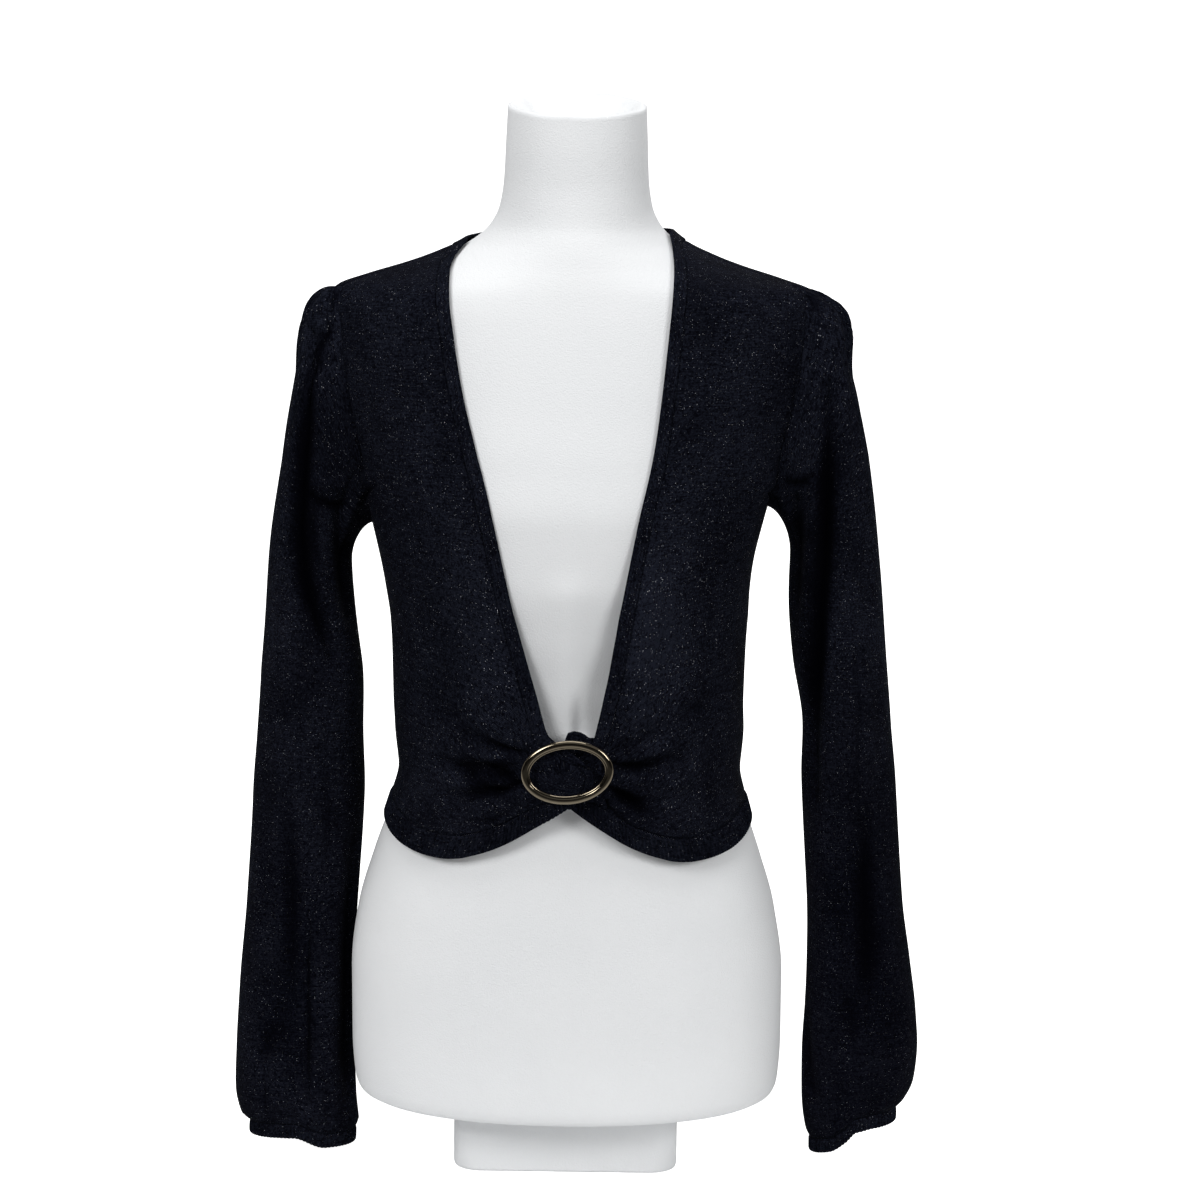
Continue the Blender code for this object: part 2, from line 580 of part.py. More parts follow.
def armhole(side, turn):
    """Places round the armhole; turn is 0 on top and pi at the underarm.

    Turns under pi lie in front of the arm and turns over pi behind it.
    """
    place = SIDES[side]
    seam = np.radians(place.shoulder_seam)
    top = shoulder_height(place.shoulder_point, seam)
    rise = (1 + np.cos(turn)) / 2
    hollow = np.abs(np.sin(turn)) ** 0.8
    depth = np.where(turn < np.pi, -place.armhole_front, place.armhole_back)
    angle = np.radians(place.side_seam_top) * (1 - rise) + seam * rise + np.radians(depth) * hollow
    return np.stack([side * angle, place.underarm + (top - place.underarm) * rise], axis=-1)


def armhole_run(side, behind):
    """Half of the armhole from the underarm up, as evenly spaced points."""
    turn = np.linspace(np.pi, 2 * np.pi, FINE) if behind else np.linspace(np.pi, 0.0, FINE)
    return spaced(armhole(side, turn), ARMHOLE_ROWS + 1)


def side_edge(side, behind):
    """The side seam from the ribbed hem up, then the armhole to the shoulder."""
    foot = hem_top(side_angle(side, HEM[-2].height), side) + SEAM
    heights = np.linspace(foot, SIDES[side].underarm, FINE)
    seam = spaced(np.stack([side_angle(side, heights), heights], axis=1), SIDE_ROWS + 1)
    seam[:, 0] += (side if behind else -side) * seam_angle(SEAM / 2)
    return joined(seam, armhole_run(side, behind))


def seam_angle(gap):
    """The angle that a short distance spans at the sides of the body."""
    return gap / 0.132


def hem_low(angle, side):
    """Height of the hem's lower edge. Past the middle a front's hem runs level."""
    turn = np.maximum(angle * side, 0.0) if side else np.abs(np.arctan2(np.sin(angle), np.cos(angle)))
    return HEM_CURVE(np.degrees(turn))


def hem_top(angle, side):
    """Height of the seam between the hem and the cloth above it."""
    turn = np.degrees(np.maximum(angle * side, 0.0)) if side else 90.0
    return hem_low(angle, side) + HEM_DRAWN_IN + (HEM_DEPTH - HEM_DRAWN_IN) * ramp(turn, 0.0, 11.0)


def shoulder_places(side, start, end, count, gap):
    """Places beside the shoulder seam, evenly between two distances out from the middle."""
    angle = np.radians(SIDES[side].shoulder_seam) + seam_angle(gap)
    out = np.linspace(start, end, count)
    return np.stack([np.full(count, side * angle), shoulder_height(out, angle)], axis=1)


def facing_out(grid, side):
    """The grid with its columns turning to the wearer's left, so that its normals face out."""
    return grid[:, ::-1] if side == RIGHT else grid


def foot_line(start, end, side, count, crowding=0.0):
    """Places along the lower edge of the cloth, just above the hem, between two angles."""
    angles = np.linspace(start, end, FINE)
    return spaced(np.stack([angles, hem_top(angles, side) + SEAM], axis=1), count, crowding)


def front_edges(side):
    """The start, end, foot and top edges of one front, from its band to its side seam."""
    start = shifted(edge_run(side, BAND_WIDTH), SEAM * side)
    end = side_edge(side, behind=False)
    foot = foot_line(start[0, 0], end[0, 0], side, FRONT_COLUMNS + 1, CROWDING)
    inner_reach = edge_reach(side) + BAND_WIDTH + SEAM
    top = shoulder_places(side, inner_reach, SIDES[side].shoulder_point, FRONT_COLUMNS + 1, -SEAM / 2)
    start[0], start[-1], end[0], end[-1] = foot[0], top[0], foot[-1], top[-1]
    return start, end, foot, top


def make_front(side, knit):
    """One front, from its side seam and armhole to the band, gathered behind the ring."""
    panel("front_" + SIDE_NAME[side], facing_out(patch(*front_edges(side)), side), side, CLOTH, knit)


def make_front_band(side, knit):
    """The doubled band along one front edge, from the ring to the shoulder seam."""
    edge, seam = edge_run(side, 0.0)[:, None], edge_run(side, BAND_WIDTH)[:, None]
    across = np.linspace(0, 1, BAND_COLUMNS + 1)[None, :, None]
    grid = edge * (1 - across) + seam * across
    panel("front_band_" + SIDE_NAME[side], facing_out(grid, side), side, BAND, knit)


def neckline(inset):
    """Places round the back of the neck, from the right shoulder seam to the left."""
    halves = []
    for side in (RIGHT, LEFT):
        seam = shoulder_places(side, edge_reach(side) + inset, 1.0, 1, SEAM / 2)[0]
        around = np.linspace(0, 1, FINE // 2)
        angle = side * seam[0] + (np.pi - side * seam[0]) * around
        level = BACK_NECK - inset * NECKLINE_FALL
        height = seam[1] + (level - seam[1]) * np.sin(around * np.pi / 2) ** 1.5
        halves.append(np.stack([np.pi + side * (angle - np.pi), height], axis=1))
    return spaced(joined(halves[0], halves[1][::-1]), BACK_COLUMNS[1] + 1)


def make_neck_band(knit):
    """The band that carries on behind the neck."""
    seam, edge = neckline(BAND_WIDTH)[None], neckline(0.0)[None]
    up = np.linspace(0, 1, BAND_COLUMNS + 1)[:, None, None]
    panel("neck_band_back", (seam * (1 - up) + edge * up)[:, ::-1], BEHIND, BAND, knit)


def back_edges():
    """The start, end, foot and top edges of the back, from the right to the left."""
    start, end = side_edge(RIGHT, behind=True), side_edge(LEFT, behind=True)
    start[:, 0] += 2 * np.pi
    neck = shifted(neckline(BAND_WIDTH), -SEAM)
    right = shoulder_places(RIGHT, SIDES[RIGHT].shoulder_point, edge_reach(RIGHT) + BAND_WIDTH + SEAM,
                            BACK_COLUMNS[0] + 1, 2 * SEAM)
    left = shoulder_places(LEFT, edge_reach(LEFT) + BAND_WIDTH + SEAM, SIDES[LEFT].shoulder_point,
                           BACK_COLUMNS[2] + 1, 2 * SEAM)
    right[:, 0] += 2 * np.pi
    neck[0], neck[-1] = right[-1], left[0]
    top = joined(joined(right, neck), left)
    foot = foot_line(start[0, 0], end[0, 0], BEHIND, sum(BACK_COLUMNS) + 1)
    start[0], end[0], start[-1], end[-1] = foot[0], foot[-1], top[0], top[-1]
    return start, end, foot, top


def ribbed(name, seam_line, seam_normals, low, low_normals, knit, closed=False):
    """A ribbed strip below a seam: ribs stand out on its outside, and its inside is plain."""
    thickness = np.where(np.arange(len(low)) % 2, RIB_CREST, RIB_VALLEY)
    grid, normals = np.stack([low, seam_line]), np.stack([low_normals, seam_normals])
    wall(name, grid, normals, thickness, knit, closed)


def between(values, count):
    """Rows of values filled in along straight lines, so that each step becomes count steps."""
    at = np.linspace(0, len(values) - 1, count * (len(values) - 1) + 1)
    return np.stack([np.interp(at, np.arange(len(values)), column) for column in values.T], axis=1)


def make_hem(name, foot, side, knit):
    """The ribbed hem under a panel's foot."""
    foot = foot[::-1] if foot[-1, 0] < foot[0, 0] else foot
    inner, normals = draped(foot, side), draped_normals(foot, side)
    down = unit(draped(foot - (0, 0.002), side) - inner)
    angle = between(foot, 2 * RIBS_A_COLUMN)[:, 0]
    low = np.stack([angle, hem_low(angle, side)], axis=1)
    ribbed(name, between(inner + down * SEAM, 2 * RIBS_A_COLUMN), unit(between(normals, 2 * RIBS_A_COLUMN)),
           draped(low, side), draped_normals(low, side), knit)


def make_cuff(side, sleeve_end, end_normals, above, knit):
    """The narrow ribbed cuff below a sleeve's end."""
    down = unit(sleeve_end - above)
    rows = [np.concatenate([row, row[:1]]) for row in (sleeve_end + down * SEAM, end_normals)]
    seam_line, seam_normals = (between(row, 2 * RIBS_A_COLUMN)[:-1] for row in rows)
    middle = seam_line.mean(axis=0)
    low = middle + (seam_line - middle) * (CUFF_TAPER, CUFF_TAPER, 1.0) - (0, 0, CUFF_DEPTH)
    low_normals = unit(seam_normals * (1, 1, 0))
    ribbed("cuff_" + SIDE_NAME[side], seam_line, unit(seam_normals), low, low_normals, knit, closed=True)


def sleeve_fold_depth(side, angle, height):
    """Depth of the sleeve's long folds at an angle round it and a height."""
    depth = np.zeros_like(height)
    for fold in SLEEVE_FOLDS[side]:
        along = (fold.top - height) / (fold.top - fold.foot)
        middle = np.radians(fold.degrees_top + (fold.degrees_foot - fold.degrees_top) * np.clip(along, 0, 1))
        across = np.arctan2(np.sin(angle - middle), np.cos(angle - middle)) / np.radians(fold.width)
        ends = ramp(along, -0.15, 0.25) * (1 - ramp(along, 0.75, 1.15))
        depth += fold.depth * np.exp(-across ** 2) * ends
    return depth


def sleeve_sections(side, heights, angle):
    """Level rings of the hanging sleeve, on a grid of heights by angles."""
    out, forward, wide, deep, lean = (curve(heights)[:, None] for curve in SLEEVE_COLUMNS[side])
    turned = np.cos(angle)[None]
    x = out + wide * turned
    y = forward - deep * np.sin(angle)[None]
    wave = CUFF_WAVE[side] * np.cos(2 * angle)[None]
    lowest = SLEEVE[side][0].height
    near_cuff = 1 - ramp(heights, lowest, lowest + 0.045)[:, None]
    rise = CUFF_RISE_CURVE[side](np.cos(angle))[None]
    z = heights[:, None] + lean * wide * turned + (rise - wave) * near_cuff
    return np.stack(np.broadcast_arrays(side * x, y, z), axis=-1)


def make_sleeve(side, knit):
    """A sleeve: its head curves out of the armhole and down, and its tube hangs to the cuff."""
    front, rear = armhole_run(side, False), armhole_run(side, True)
    front_rim, rear_rim = draped(front, side), draped(rear, BEHIND)
    rim = np.concatenate([front_rim[::-1], rear_rim[1:-1]])
    rim_normals = np.concatenate([draped_normals(front, side)[::-1], draped_normals(rear, BEHIND)[1:-1]])
    angle = np.concatenate([np.linspace(0, np.pi, ARMHOLE_ROWS + 1),
                            np.linspace(np.pi, 2 * np.pi, ARMHOLE_ROWS + 1)[1:-1]])
    along = np.roll(rim, -1, axis=0) - np.roll(rim, 1, axis=0)
    away = unit(np.cross(along, rim_normals)) * -side
    on_top = ((1 + np.cos(angle)) / 2)[:, None]
    tip = np.pi / 2 * (1 - on_top ** 3)
    leaving = unit(on_top ** 3 * np.array([0.93 * side, 0.0, -0.37]) + (1 - on_top ** 3) * rim_normals)
    facing = np.cos(tip) * rim_normals - np.sin(tip) * away
    begin = rim + SEAM * away + np.sin(tip) * ((CLOTH + SEAM) * rim_normals + CLOTH * away)
    top_ring = SLEEVE[side][-1].height
    target = sleeve_sections(side, np.array([top_ring]), angle)[0]
    span = np.linalg.norm(target - begin, axis=1, keepdims=True)
    fullness = UNDERARM_FULLNESS + (SIDES[side].head_fullness - UNDERARM_FULLNESS) * on_top ** 3
    u = np.linspace(0, 1, HEAD_ROWS + 1)[:, None, None] ** 1.2
    head = ((1 + 2 * u) * (1 - u) ** 2 * begin + u * (1 - u) ** 2 * span * fullness * leaving
            + u * u * (3 - 2 * u) * target + u * u * (1 - u) * span * 0.9 * np.array([0, 0, 1.0]))
    wanted = np.array([begin[0, [0, 2]] * (side, 1), *HEAD_LINE[side], target[0, [0, 2]] * (side, 1)])
    run = np.concatenate([[0.0], np.cumsum(np.linalg.norm(np.diff(wanted, axis=0), axis=1))])
    line_x, line_z = (smooth_curve(run, wanted[:, k])(u[:, 0, 0] * run[-1]) for k in (0, 1))
    onto_line = np.stack([line_x * side - head[:, 0, 0], 0 * line_x, line_z - head[:, 0, 2]], axis=1)
    head = head + onto_line[:, None] * on_top ** 1.3
    alike = ramp(u[..., 0], 0.0, 0.4) * on_top.T ** 6
    head[..., 0] += (head[:, :1, 0] - head[..., 0]) * alike
    heights = np.linspace(top_ring, SLEEVE[side][1].height, TUBE_ROWS)
    heights = np.append(heights, SLEEVE[side][0].height)[1:]
    grid = np.concatenate([head, sleeve_sections(side, heights, angle)])
    order = slice(None, None, -side)
    grid, turned, facing = grid[::-1, order], angle[order], facing[order]
    normals = grid_normals(grid, True)
    depth = sleeve_fold_depth(side, np.broadcast_to(turned, grid.shape[:2]), grid[..., 2])
    row = (np.arange(len(grid))[::-1, None]) / HEAD_ROWS
    near_top = np.exp(-(np.arctan2(np.sin(turned), np.cos(turned)) / np.radians(58)) ** 4)[None]
    swell = np.sin(np.clip(row, 0, 1) * np.pi)
    gathers = SIDES[side].gathers * near_top * swell * np.where(np.arange(len(turned)) % 2, 1, -1)[None]
    settled = ramp(row, 0.0, 0.35)
    grid = grid + normals * (gathers - depth * settled)[..., None]
    normals = grid_normals(grid, True)
    own = 0.2 * on_top[order] ** 3
    normals[-1] = unit(facing * (1 - own) + normals[-1] * own)
    wall("sleeve_" + SIDE_NAME[side], grid, normals, CLOTH, knit, closed=True)
    make_cuff(side, grid[0], normals[0], grid[1], knit)


def make_form(cover):
    """The dress form: level sections lofted from a flat underside to a dished neck."""
    heights = np.concatenate([[s.height for s in FORM[:3]], np.linspace(FORM[3].height, 0.630, 17),
                              np.linspace(0.645, FORM[-1].height, 15)])
    angle = np.linspace(0, 2 * np.pi, FORM_SEGMENTS, endpoint=False)
    rings = torso(angle[None], heights[:, None], worn=0.0)
    rim = rings[-1]
    middle = rim.mean(axis=0)
    dish = []
    for scale, fall in ((0.93, -0.0015), (0.84, 0.0015), (0.72, 0.0075), (0.45, 0.0125)):
        dish.append(middle + (rim - middle) * (scale, scale, scale) - (0, 0, fall))
    grid = np.concatenate([rings, np.array(dish)])
    rows = len(grid)
    vertices = np.concatenate([grid.reshape(-1, 3), [(0, 0, FORM_BASE)], [middle - (0, 0, DISH_DEPTH)]])
    number = np.arange(rows * FORM_SEGMENTS).reshape(rows, FORM_SEGMENTS)
    number = np.concatenate([number, number[:, :1]], axis=1)
    low, high = number[:-1], number[1:]
    faces = np.stack([low[:, :-1], low[:, 1:], high[:, 1:], high[:, :-1]], axis=-1).reshape(-1, 4).tolist()
    under, above = rows * FORM_SEGMENTS, rows * FORM_SEGMENTS + 1
    for k in range(FORM_SEGMENTS):
        faces.append([int(number[0, k + 1]), int(number[0, k]), under])
        faces.append([int(number[-1, k]), int(number[-1, k + 1]), above])
    make_object("dress_form", vertices, faces, cover)


def make_ring(metal):
    """The oval ring, a band of rounded section that tilts in its own plane."""
    around = np.linspace(0, 2 * np.pi, RING_SEGMENTS, endpoint=False)[:, None]
    section = (np.arange(RING_SIDES) + 0.5)[None] * 2 * np.pi / RING_SIDES
    wide, high = RING_HALF_WIDTH - RING_BAND / 2, RING_HALF_HEIGHT - RING_BAND / 2
    out_x, out_z = high * np.cos(around), wide * np.sin(around)
    length = np.hypot(out_x, out_z)
    reach = RING_BAND / 2 * np.cos(section) / np.cos(np.pi / RING_SIDES)
    x = wide * np.cos(around) + reach * out_x / length
    z = high * np.sin(around) + reach * out_z / length
    y = RING_BACK - RING_THICKNESS / 2 * (1 + np.sin(section) / np.cos(np.pi / RING_SIDES))
    turn, rise = np.cos(RING_TILT), np.sin(RING_TILT)
    points = np.stack(np.broadcast_arrays(RING_CENTRE[0] + x * turn - z * rise, y,
                                          RING_CENTRE[1] + x * rise + z * turn), axis=-1)
    number = np.arange(RING_SEGMENTS * RING_SIDES).reshape(RING_SEGMENTS, RING_SIDES)
    number = np.concatenate([number, number[:1]])
    number = np.concatenate([number, number[:, :1]], axis=1)
    points = points.reshape(-1, 3)
    make_object("ring", points, cells(number, points)[:, ::-1].tolist(), metal)


def make_ring_loop(knit):
    """The crumpled tab behind the ring, which shows above it between the front edges."""
    across = np.linspace(*LOOP_ACROSS, 9)
    top = LOOP_TOP + 0.0014 * np.cos((across - across[0]) * 2 * np.pi / 0.0105)
    up = np.linspace(0, 1, 5)[:, None]
    heights = LOOP_FOOT + (top[None] - LOOP_FOOT) * up
    places = np.stack([angle_at(across[None] + 0 * heights, heights), heights], axis=-1)
    normals = torso_normal(places[..., 0], places[..., 1])
    crumple = 0.0007 * np.cos(np.arange(9) * np.pi)[None] * (0.3 + 0.7 * up)
    wall("ring_loop", torso(places[..., 0], places[..., 1]) + normals * (crumple - LOOP_BEHIND)[..., None],
         normals, CLOTH, knit)


def make_form_foot(cover):
    """A low block with rounded corners under the form."""
    corner, turns = 0.020, np.linspace(0, np.pi / 2, 4)
    outline = []
    for quarter, (x, y) in enumerate(((FOOT_HALF_WIDTH, FOOT_BACK), (-FOOT_HALF_WIDTH, FOOT_BACK),
                                      (-FOOT_HALF_WIDTH, FOOT_FRONT), (FOOT_HALF_WIDTH, FOOT_FRONT))):
        centre_x = x - corner if x > 0 else x + corner
        centre_y = y - corner if y > 0 else y + corner
        for turn in turns + quarter * np.pi / 2:
            outline.append((centre_x + corner * np.cos(turn), centre_y + corner * np.sin(turn)))
    count = len(outline)
    points = np.array([(x, y, z) for z in (0.0, FORM_BASE - SEAM) for x, y in outline])
    faces = [list(range(count))[::-1], list(range(count, 2 * count))]
    for k in range(count):
        after = (k + 1) % count
        faces.append([k, after, count + after, count + k])
    make_object("form_foot", points, faces, cover, smooth=False)


def main():
    for old in list(bpy.data.objects):
        bpy.data.objects.remove(old, do_unlink=True)
    knit = material("navy_knit", (0.006, 0.007, 0.014), 0.75)
    cover = material("form_cover", (0.80, 0.80, 0.82), 0.8)
    make_form(cover)
    for side in (RIGHT, LEFT):
        make_front(side, knit)
        make_front_band(side, knit)
    make_neck_band(knit)
    panel("back", patch(*back_edges(), hold=3.0)[:, ::-1], BEHIND, CLOTH, knit)
    make_hem("hem_rib_front_right", front_edges(RIGHT)[2], RIGHT, knit)
    make_hem("hem_rib_front_left", front_edges(LEFT)[2], LEFT, knit)
    make_hem("hem_rib_back", back_edges()[2], BEHIND, knit)
    for side in (RIGHT, LEFT):
        make_sleeve(side, knit)
    make_ring(material("gunmetal", (0.20, 0.17, 0.14), 0.18, 1.0))
    make_ring_loop(knit)
    make_form_foot(cover)


main()
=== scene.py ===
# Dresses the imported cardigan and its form: fine knitted surfaces, ribs, gathers, the polished ring and the cover.
# +X is the wearer's left, -Y the front, +Z up. Lengths are in metres, but in the tables of shapes in millimetres.
# Sides: -1 right, 1 left, 0 behind. A place is an angle round the body, 0 in front and 90 degrees at the left, and
# a height.
from collections import namedtuple

import bpy
import numpy as np
from mathutils import Matrix


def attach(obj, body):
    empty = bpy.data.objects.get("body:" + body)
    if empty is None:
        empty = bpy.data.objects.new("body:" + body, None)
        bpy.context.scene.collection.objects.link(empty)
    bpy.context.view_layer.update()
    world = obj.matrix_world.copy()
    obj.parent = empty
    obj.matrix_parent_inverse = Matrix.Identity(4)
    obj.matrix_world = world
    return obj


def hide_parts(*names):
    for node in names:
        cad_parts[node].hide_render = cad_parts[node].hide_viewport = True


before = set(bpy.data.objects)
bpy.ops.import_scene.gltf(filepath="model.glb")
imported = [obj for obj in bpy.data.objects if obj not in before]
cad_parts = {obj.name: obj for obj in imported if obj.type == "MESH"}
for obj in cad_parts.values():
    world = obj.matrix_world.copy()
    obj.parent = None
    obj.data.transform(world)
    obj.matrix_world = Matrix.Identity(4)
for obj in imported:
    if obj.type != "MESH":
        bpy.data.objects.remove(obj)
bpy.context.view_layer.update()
right, left, behind = -1, 1, 0
sideNames = {right: "right", left: "left"}
mm = 0.001
tiny = 1e-4
finePoints = 1600   # points of a curve before it is spaced evenly
print("frame loaded:", len(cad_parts), "nodes")


def smoothCurve(places, values):
    # monotone cubic: the slope at a point is the weighted harmonic mean of the slopes beside it
    steps = np.diff(places)
    grades = np.diff(values) / steps
    before, after = grades[:-1], grades[1:]
    rising = before * after > 0
    weightBefore = (2 * steps[1:] + steps[:-1])[rising]
    weightAfter = (steps[1:] + 2 * steps[:-1])[rising]
    tangents = np.concatenate([grades[:1], np.zeros(len(before)), grades[-1:]])
    tangents[1:-1][rising] = ((weightBefore + weightAfter)
                              / (weightBefore / before[rising] + weightAfter / after[rising]))

    def curve(place):
        place = np.clip(place, places[0], places[-1])
        k = np.clip(np.searchsorted(places, place, side="right") - 1, 0, len(steps) - 1)
        return hermite((place - places[k]) / steps[k], values[k], steps[k] * tangents[k],
                       values[k + 1], steps[k] * tangents[k + 1])

    return curve


def hermite(u, start, leaving, end, arriving):
    # cubic from start to end with these end slopes
    return ((1 + 2 * u) * (1 - u) ** 2 * start + u * (1 - u) ** 2 * leaving
            + u * u * (3 - 2 * u) * end - u * u * (1 - u) * arriving)


def tableCurves(table, scale=mm):
    # one smooth curve for each column against the first
    rows = np.array(table) * scale
    return [smoothCurve(rows[:, 0], column) for column in rows.T[1:]]


def ramp(value, low, high):
    # 3u^2 - 2u^3 between low and high, held at 0 and 1 outside
    u = np.clip((value - low) / (high - low), 0.0, 1.0)
    return u * u * (3 - 2 * u)


def bell(value, width):
    # exp(-(value / width)^2)
    return np.exp(-(value / width) ** 2)


def unit(vectors):
    return vectors / np.linalg.norm(vectors, axis=-1, keepdims=True)


def joined(*parts):
    # coordinates broadcast together into one array of points
    return np.stack(np.broadcast_arrays(*parts), axis=-1)


def runLength(points):
    # distance from the first point along the line
    return np.concatenate([[0.0], np.cumsum(np.linalg.norm(np.diff(points, axis=0), axis=1))])


def slopes(surface, places, turn=tiny, rise=tiny):
    # the surface's steps round and up
    return [surface(places + step) - surface(places - step) for step in ((turn, 0.0), (0.0, rise))]


body = {
    "sections": (   # height, half width, front, back, taper towards the sides in thousandths
        (52.5, 153, 90, 94, -100), (56, 158.5, 95, 99, -100), (65, 161.8, 98.5, 103, -100),
        (100, 164, 101, 108, -100), (150, 164, 103, 111, -100), (200, 157.8, 101, 105, -100),
        (240, 146.3, 97, 95, -80), (280, 132.5, 92, 85, -60), (310, 123.2, 89, 79, -40), (340, 122, 88, 76, -30),
        (380, 123.6, 93, 79, -40), (420, 127.8, 103, 85, -60), (460, 133.4, 112, 90.5, -80),
        (500, 142, 113, 93.5, -80), (540, 153.6, 105.6, 94.6, -50), (580, 167.6, 95.1, 93.9, 0),
        (620, 176.8, 84.8, 91.6, 50), (645, 177.8, 78.4, 88, 120), (658, 172.4, 74.8, 85.8, 180),
        (665, 163.5, 72.8, 84.4, 240), (672.5, 141.7, 70.4, 82.2, 310), (681, 116.3, 67.4, 79.2, 360),
        (690, 94.8, 64.4, 75.2, 370), (698.5, 77.3, 61.2, 70.8, 320), (710, 63.6, 56.7, 66.8, 200),
        (725, 56, 54, 60, 50), (745, 53, 52, 56, 0), (770, 51.9, 51.5, 53.5, 0), (797, 50.7, 50, 52, 0)),
    "ease": (       # height, and how far the cloth's inside stands off at the side, front and back
        (240, 1.4, 10, 5), (270, 1.4, 11.8, 6), (300, 3.4, 14.8, 10), (340, 8.3, 17.8, 12), (380, 7.3, 13.8, 9),
        (420, 4.8, 5.8, 5), (460, 3.8, 2.4, 3.5), (500, 4.3, 1.8, 3.5), (560, 4.2, 2.4, 4.6), (620, 5, 3, 5.2),
        (650, 5.6, 3.6, 5.8), (658, 7.6, 3.6, 6), (672.5, 10.8, 3.6, 6), (690, 5.8, 3.6, 5.8), (710, 4.6, 3.6, 4.6)),
    "lean": (       # height, and how far the body leans to the wearer's left
        (52.5, 0), (150, -0.8), (200, -1.5), (240, -1.5), (280, -1), (300, -0.6), (335, -1), (360, -2), (420, -2.2),
        (445, -3.6), (477, -4.6), (500, -4.6), (540, -3), (600, -1.2), (660, -0.8), (797, -0.7)),
    "neckTilt": 0.19,
    "wornHeights": (0.230, 0.720),
}
formCurves = tableCurves(body["sections"])
easeCurves = tableCurves(body["ease"])
leanCurve = tableCurves(body["lean"])[0]


def halfWidth(height, worn=1.0):
    # form's half width plus the side ease when worn
    return formCurves[0](height) + worn * easeCurves[0](height)


def torso(places, worn=1.0):
    # x = lean + w sin a, y = -d cos a (1 - taper sin^2 a), z tilts with y near the neck
    angle, height = places[..., 0], places[..., 1]
    front, back, taper = (curve(height) for curve in formCurves[1:])
    easeFront, easeBack = (curve(height) for curve in easeCurves[1:])
    depth = np.where(np.cos(angle) > 0, front + worn * easeFront, back + worn * easeBack)
    x = leanCurve(height) + halfWidth(height, worn) * np.sin(angle)
    y = -depth * np.cos(angle) * (1 - taper * np.sin(angle) ** 2)
    return joined(x, y, height + body["neckTilt"] * y * ramp(height, 0.700, 0.800))


def torsoNormal(places):
    # cross product of the steps round and up
    return unit(np.cross(*slopes(torso, places)))


profileHeights = np.linspace(*body["wornHeights"], finePoints)
profileRun = runLength(joined(halfWidth(profileHeights), profileHeights))

cloth = {
    "thickness": 0.0012, "bandThickness": 0.0018, "ribValley": 0.0010, "ribCrest": 0.0023,
    "ribPitch": 0.0030, "bandWidth": 0.0100, "hemDepth": 0.0170, "hemDrawnIn": 0.0080, "cuffDepth": 0.0110,
    "seamGap": 0.00004, "backNeck": 0.7085, "necklineFall": 0.9,
    "ringPull": 0.10, "pullReach": 0.09,    # how far the ring draws the courses down, and from how far
    "foldShadeScale": 0.0044,                     # depth at which a fold's painted shade is strong
    "turnLength": 0.135, "hemTurn": 0.13,   # cloth round the body for each radian, and hem
    "crossingLift": 0.0048, "crossingSink": 0.0020, "leftFullness": 0.0050,     # of the fronts at and above the ring
}
seamGap = cloth["seamGap"]
frontEdge = {       # height and distance out of each front edge, from the hem up through the ring to the shoulder
    right: ((305.6, -14), (313, -17.5), (321, -18.5), (328, -15), (337, -4.5), (343, 3.2), (351, 12.6), (362, 16.7),
            (383, 22.8), (427, 35), (470, 43.5), (513, 53.5), (554, 66.4), (595.5, 78.3), (637, 86), (658, 89),
            (678, 89.8), (687, 87.6), (694, 82.8), (699.5, 78)),
    left: ((305.6, -6), (314, -6), (322, -3.5), (330, 4), (337, 12), (344, 17.8), (351, 20.6), (384, 27), (428, 34.2),
           (472, 44.7), (514.5, 53.4), (556, 60.4), (598, 64.6), (639.6, 68.5), (660.5, 70.3), (682, 71.4),
           (693.5, 70.6), (702, 69.2), (708, 68)),
}
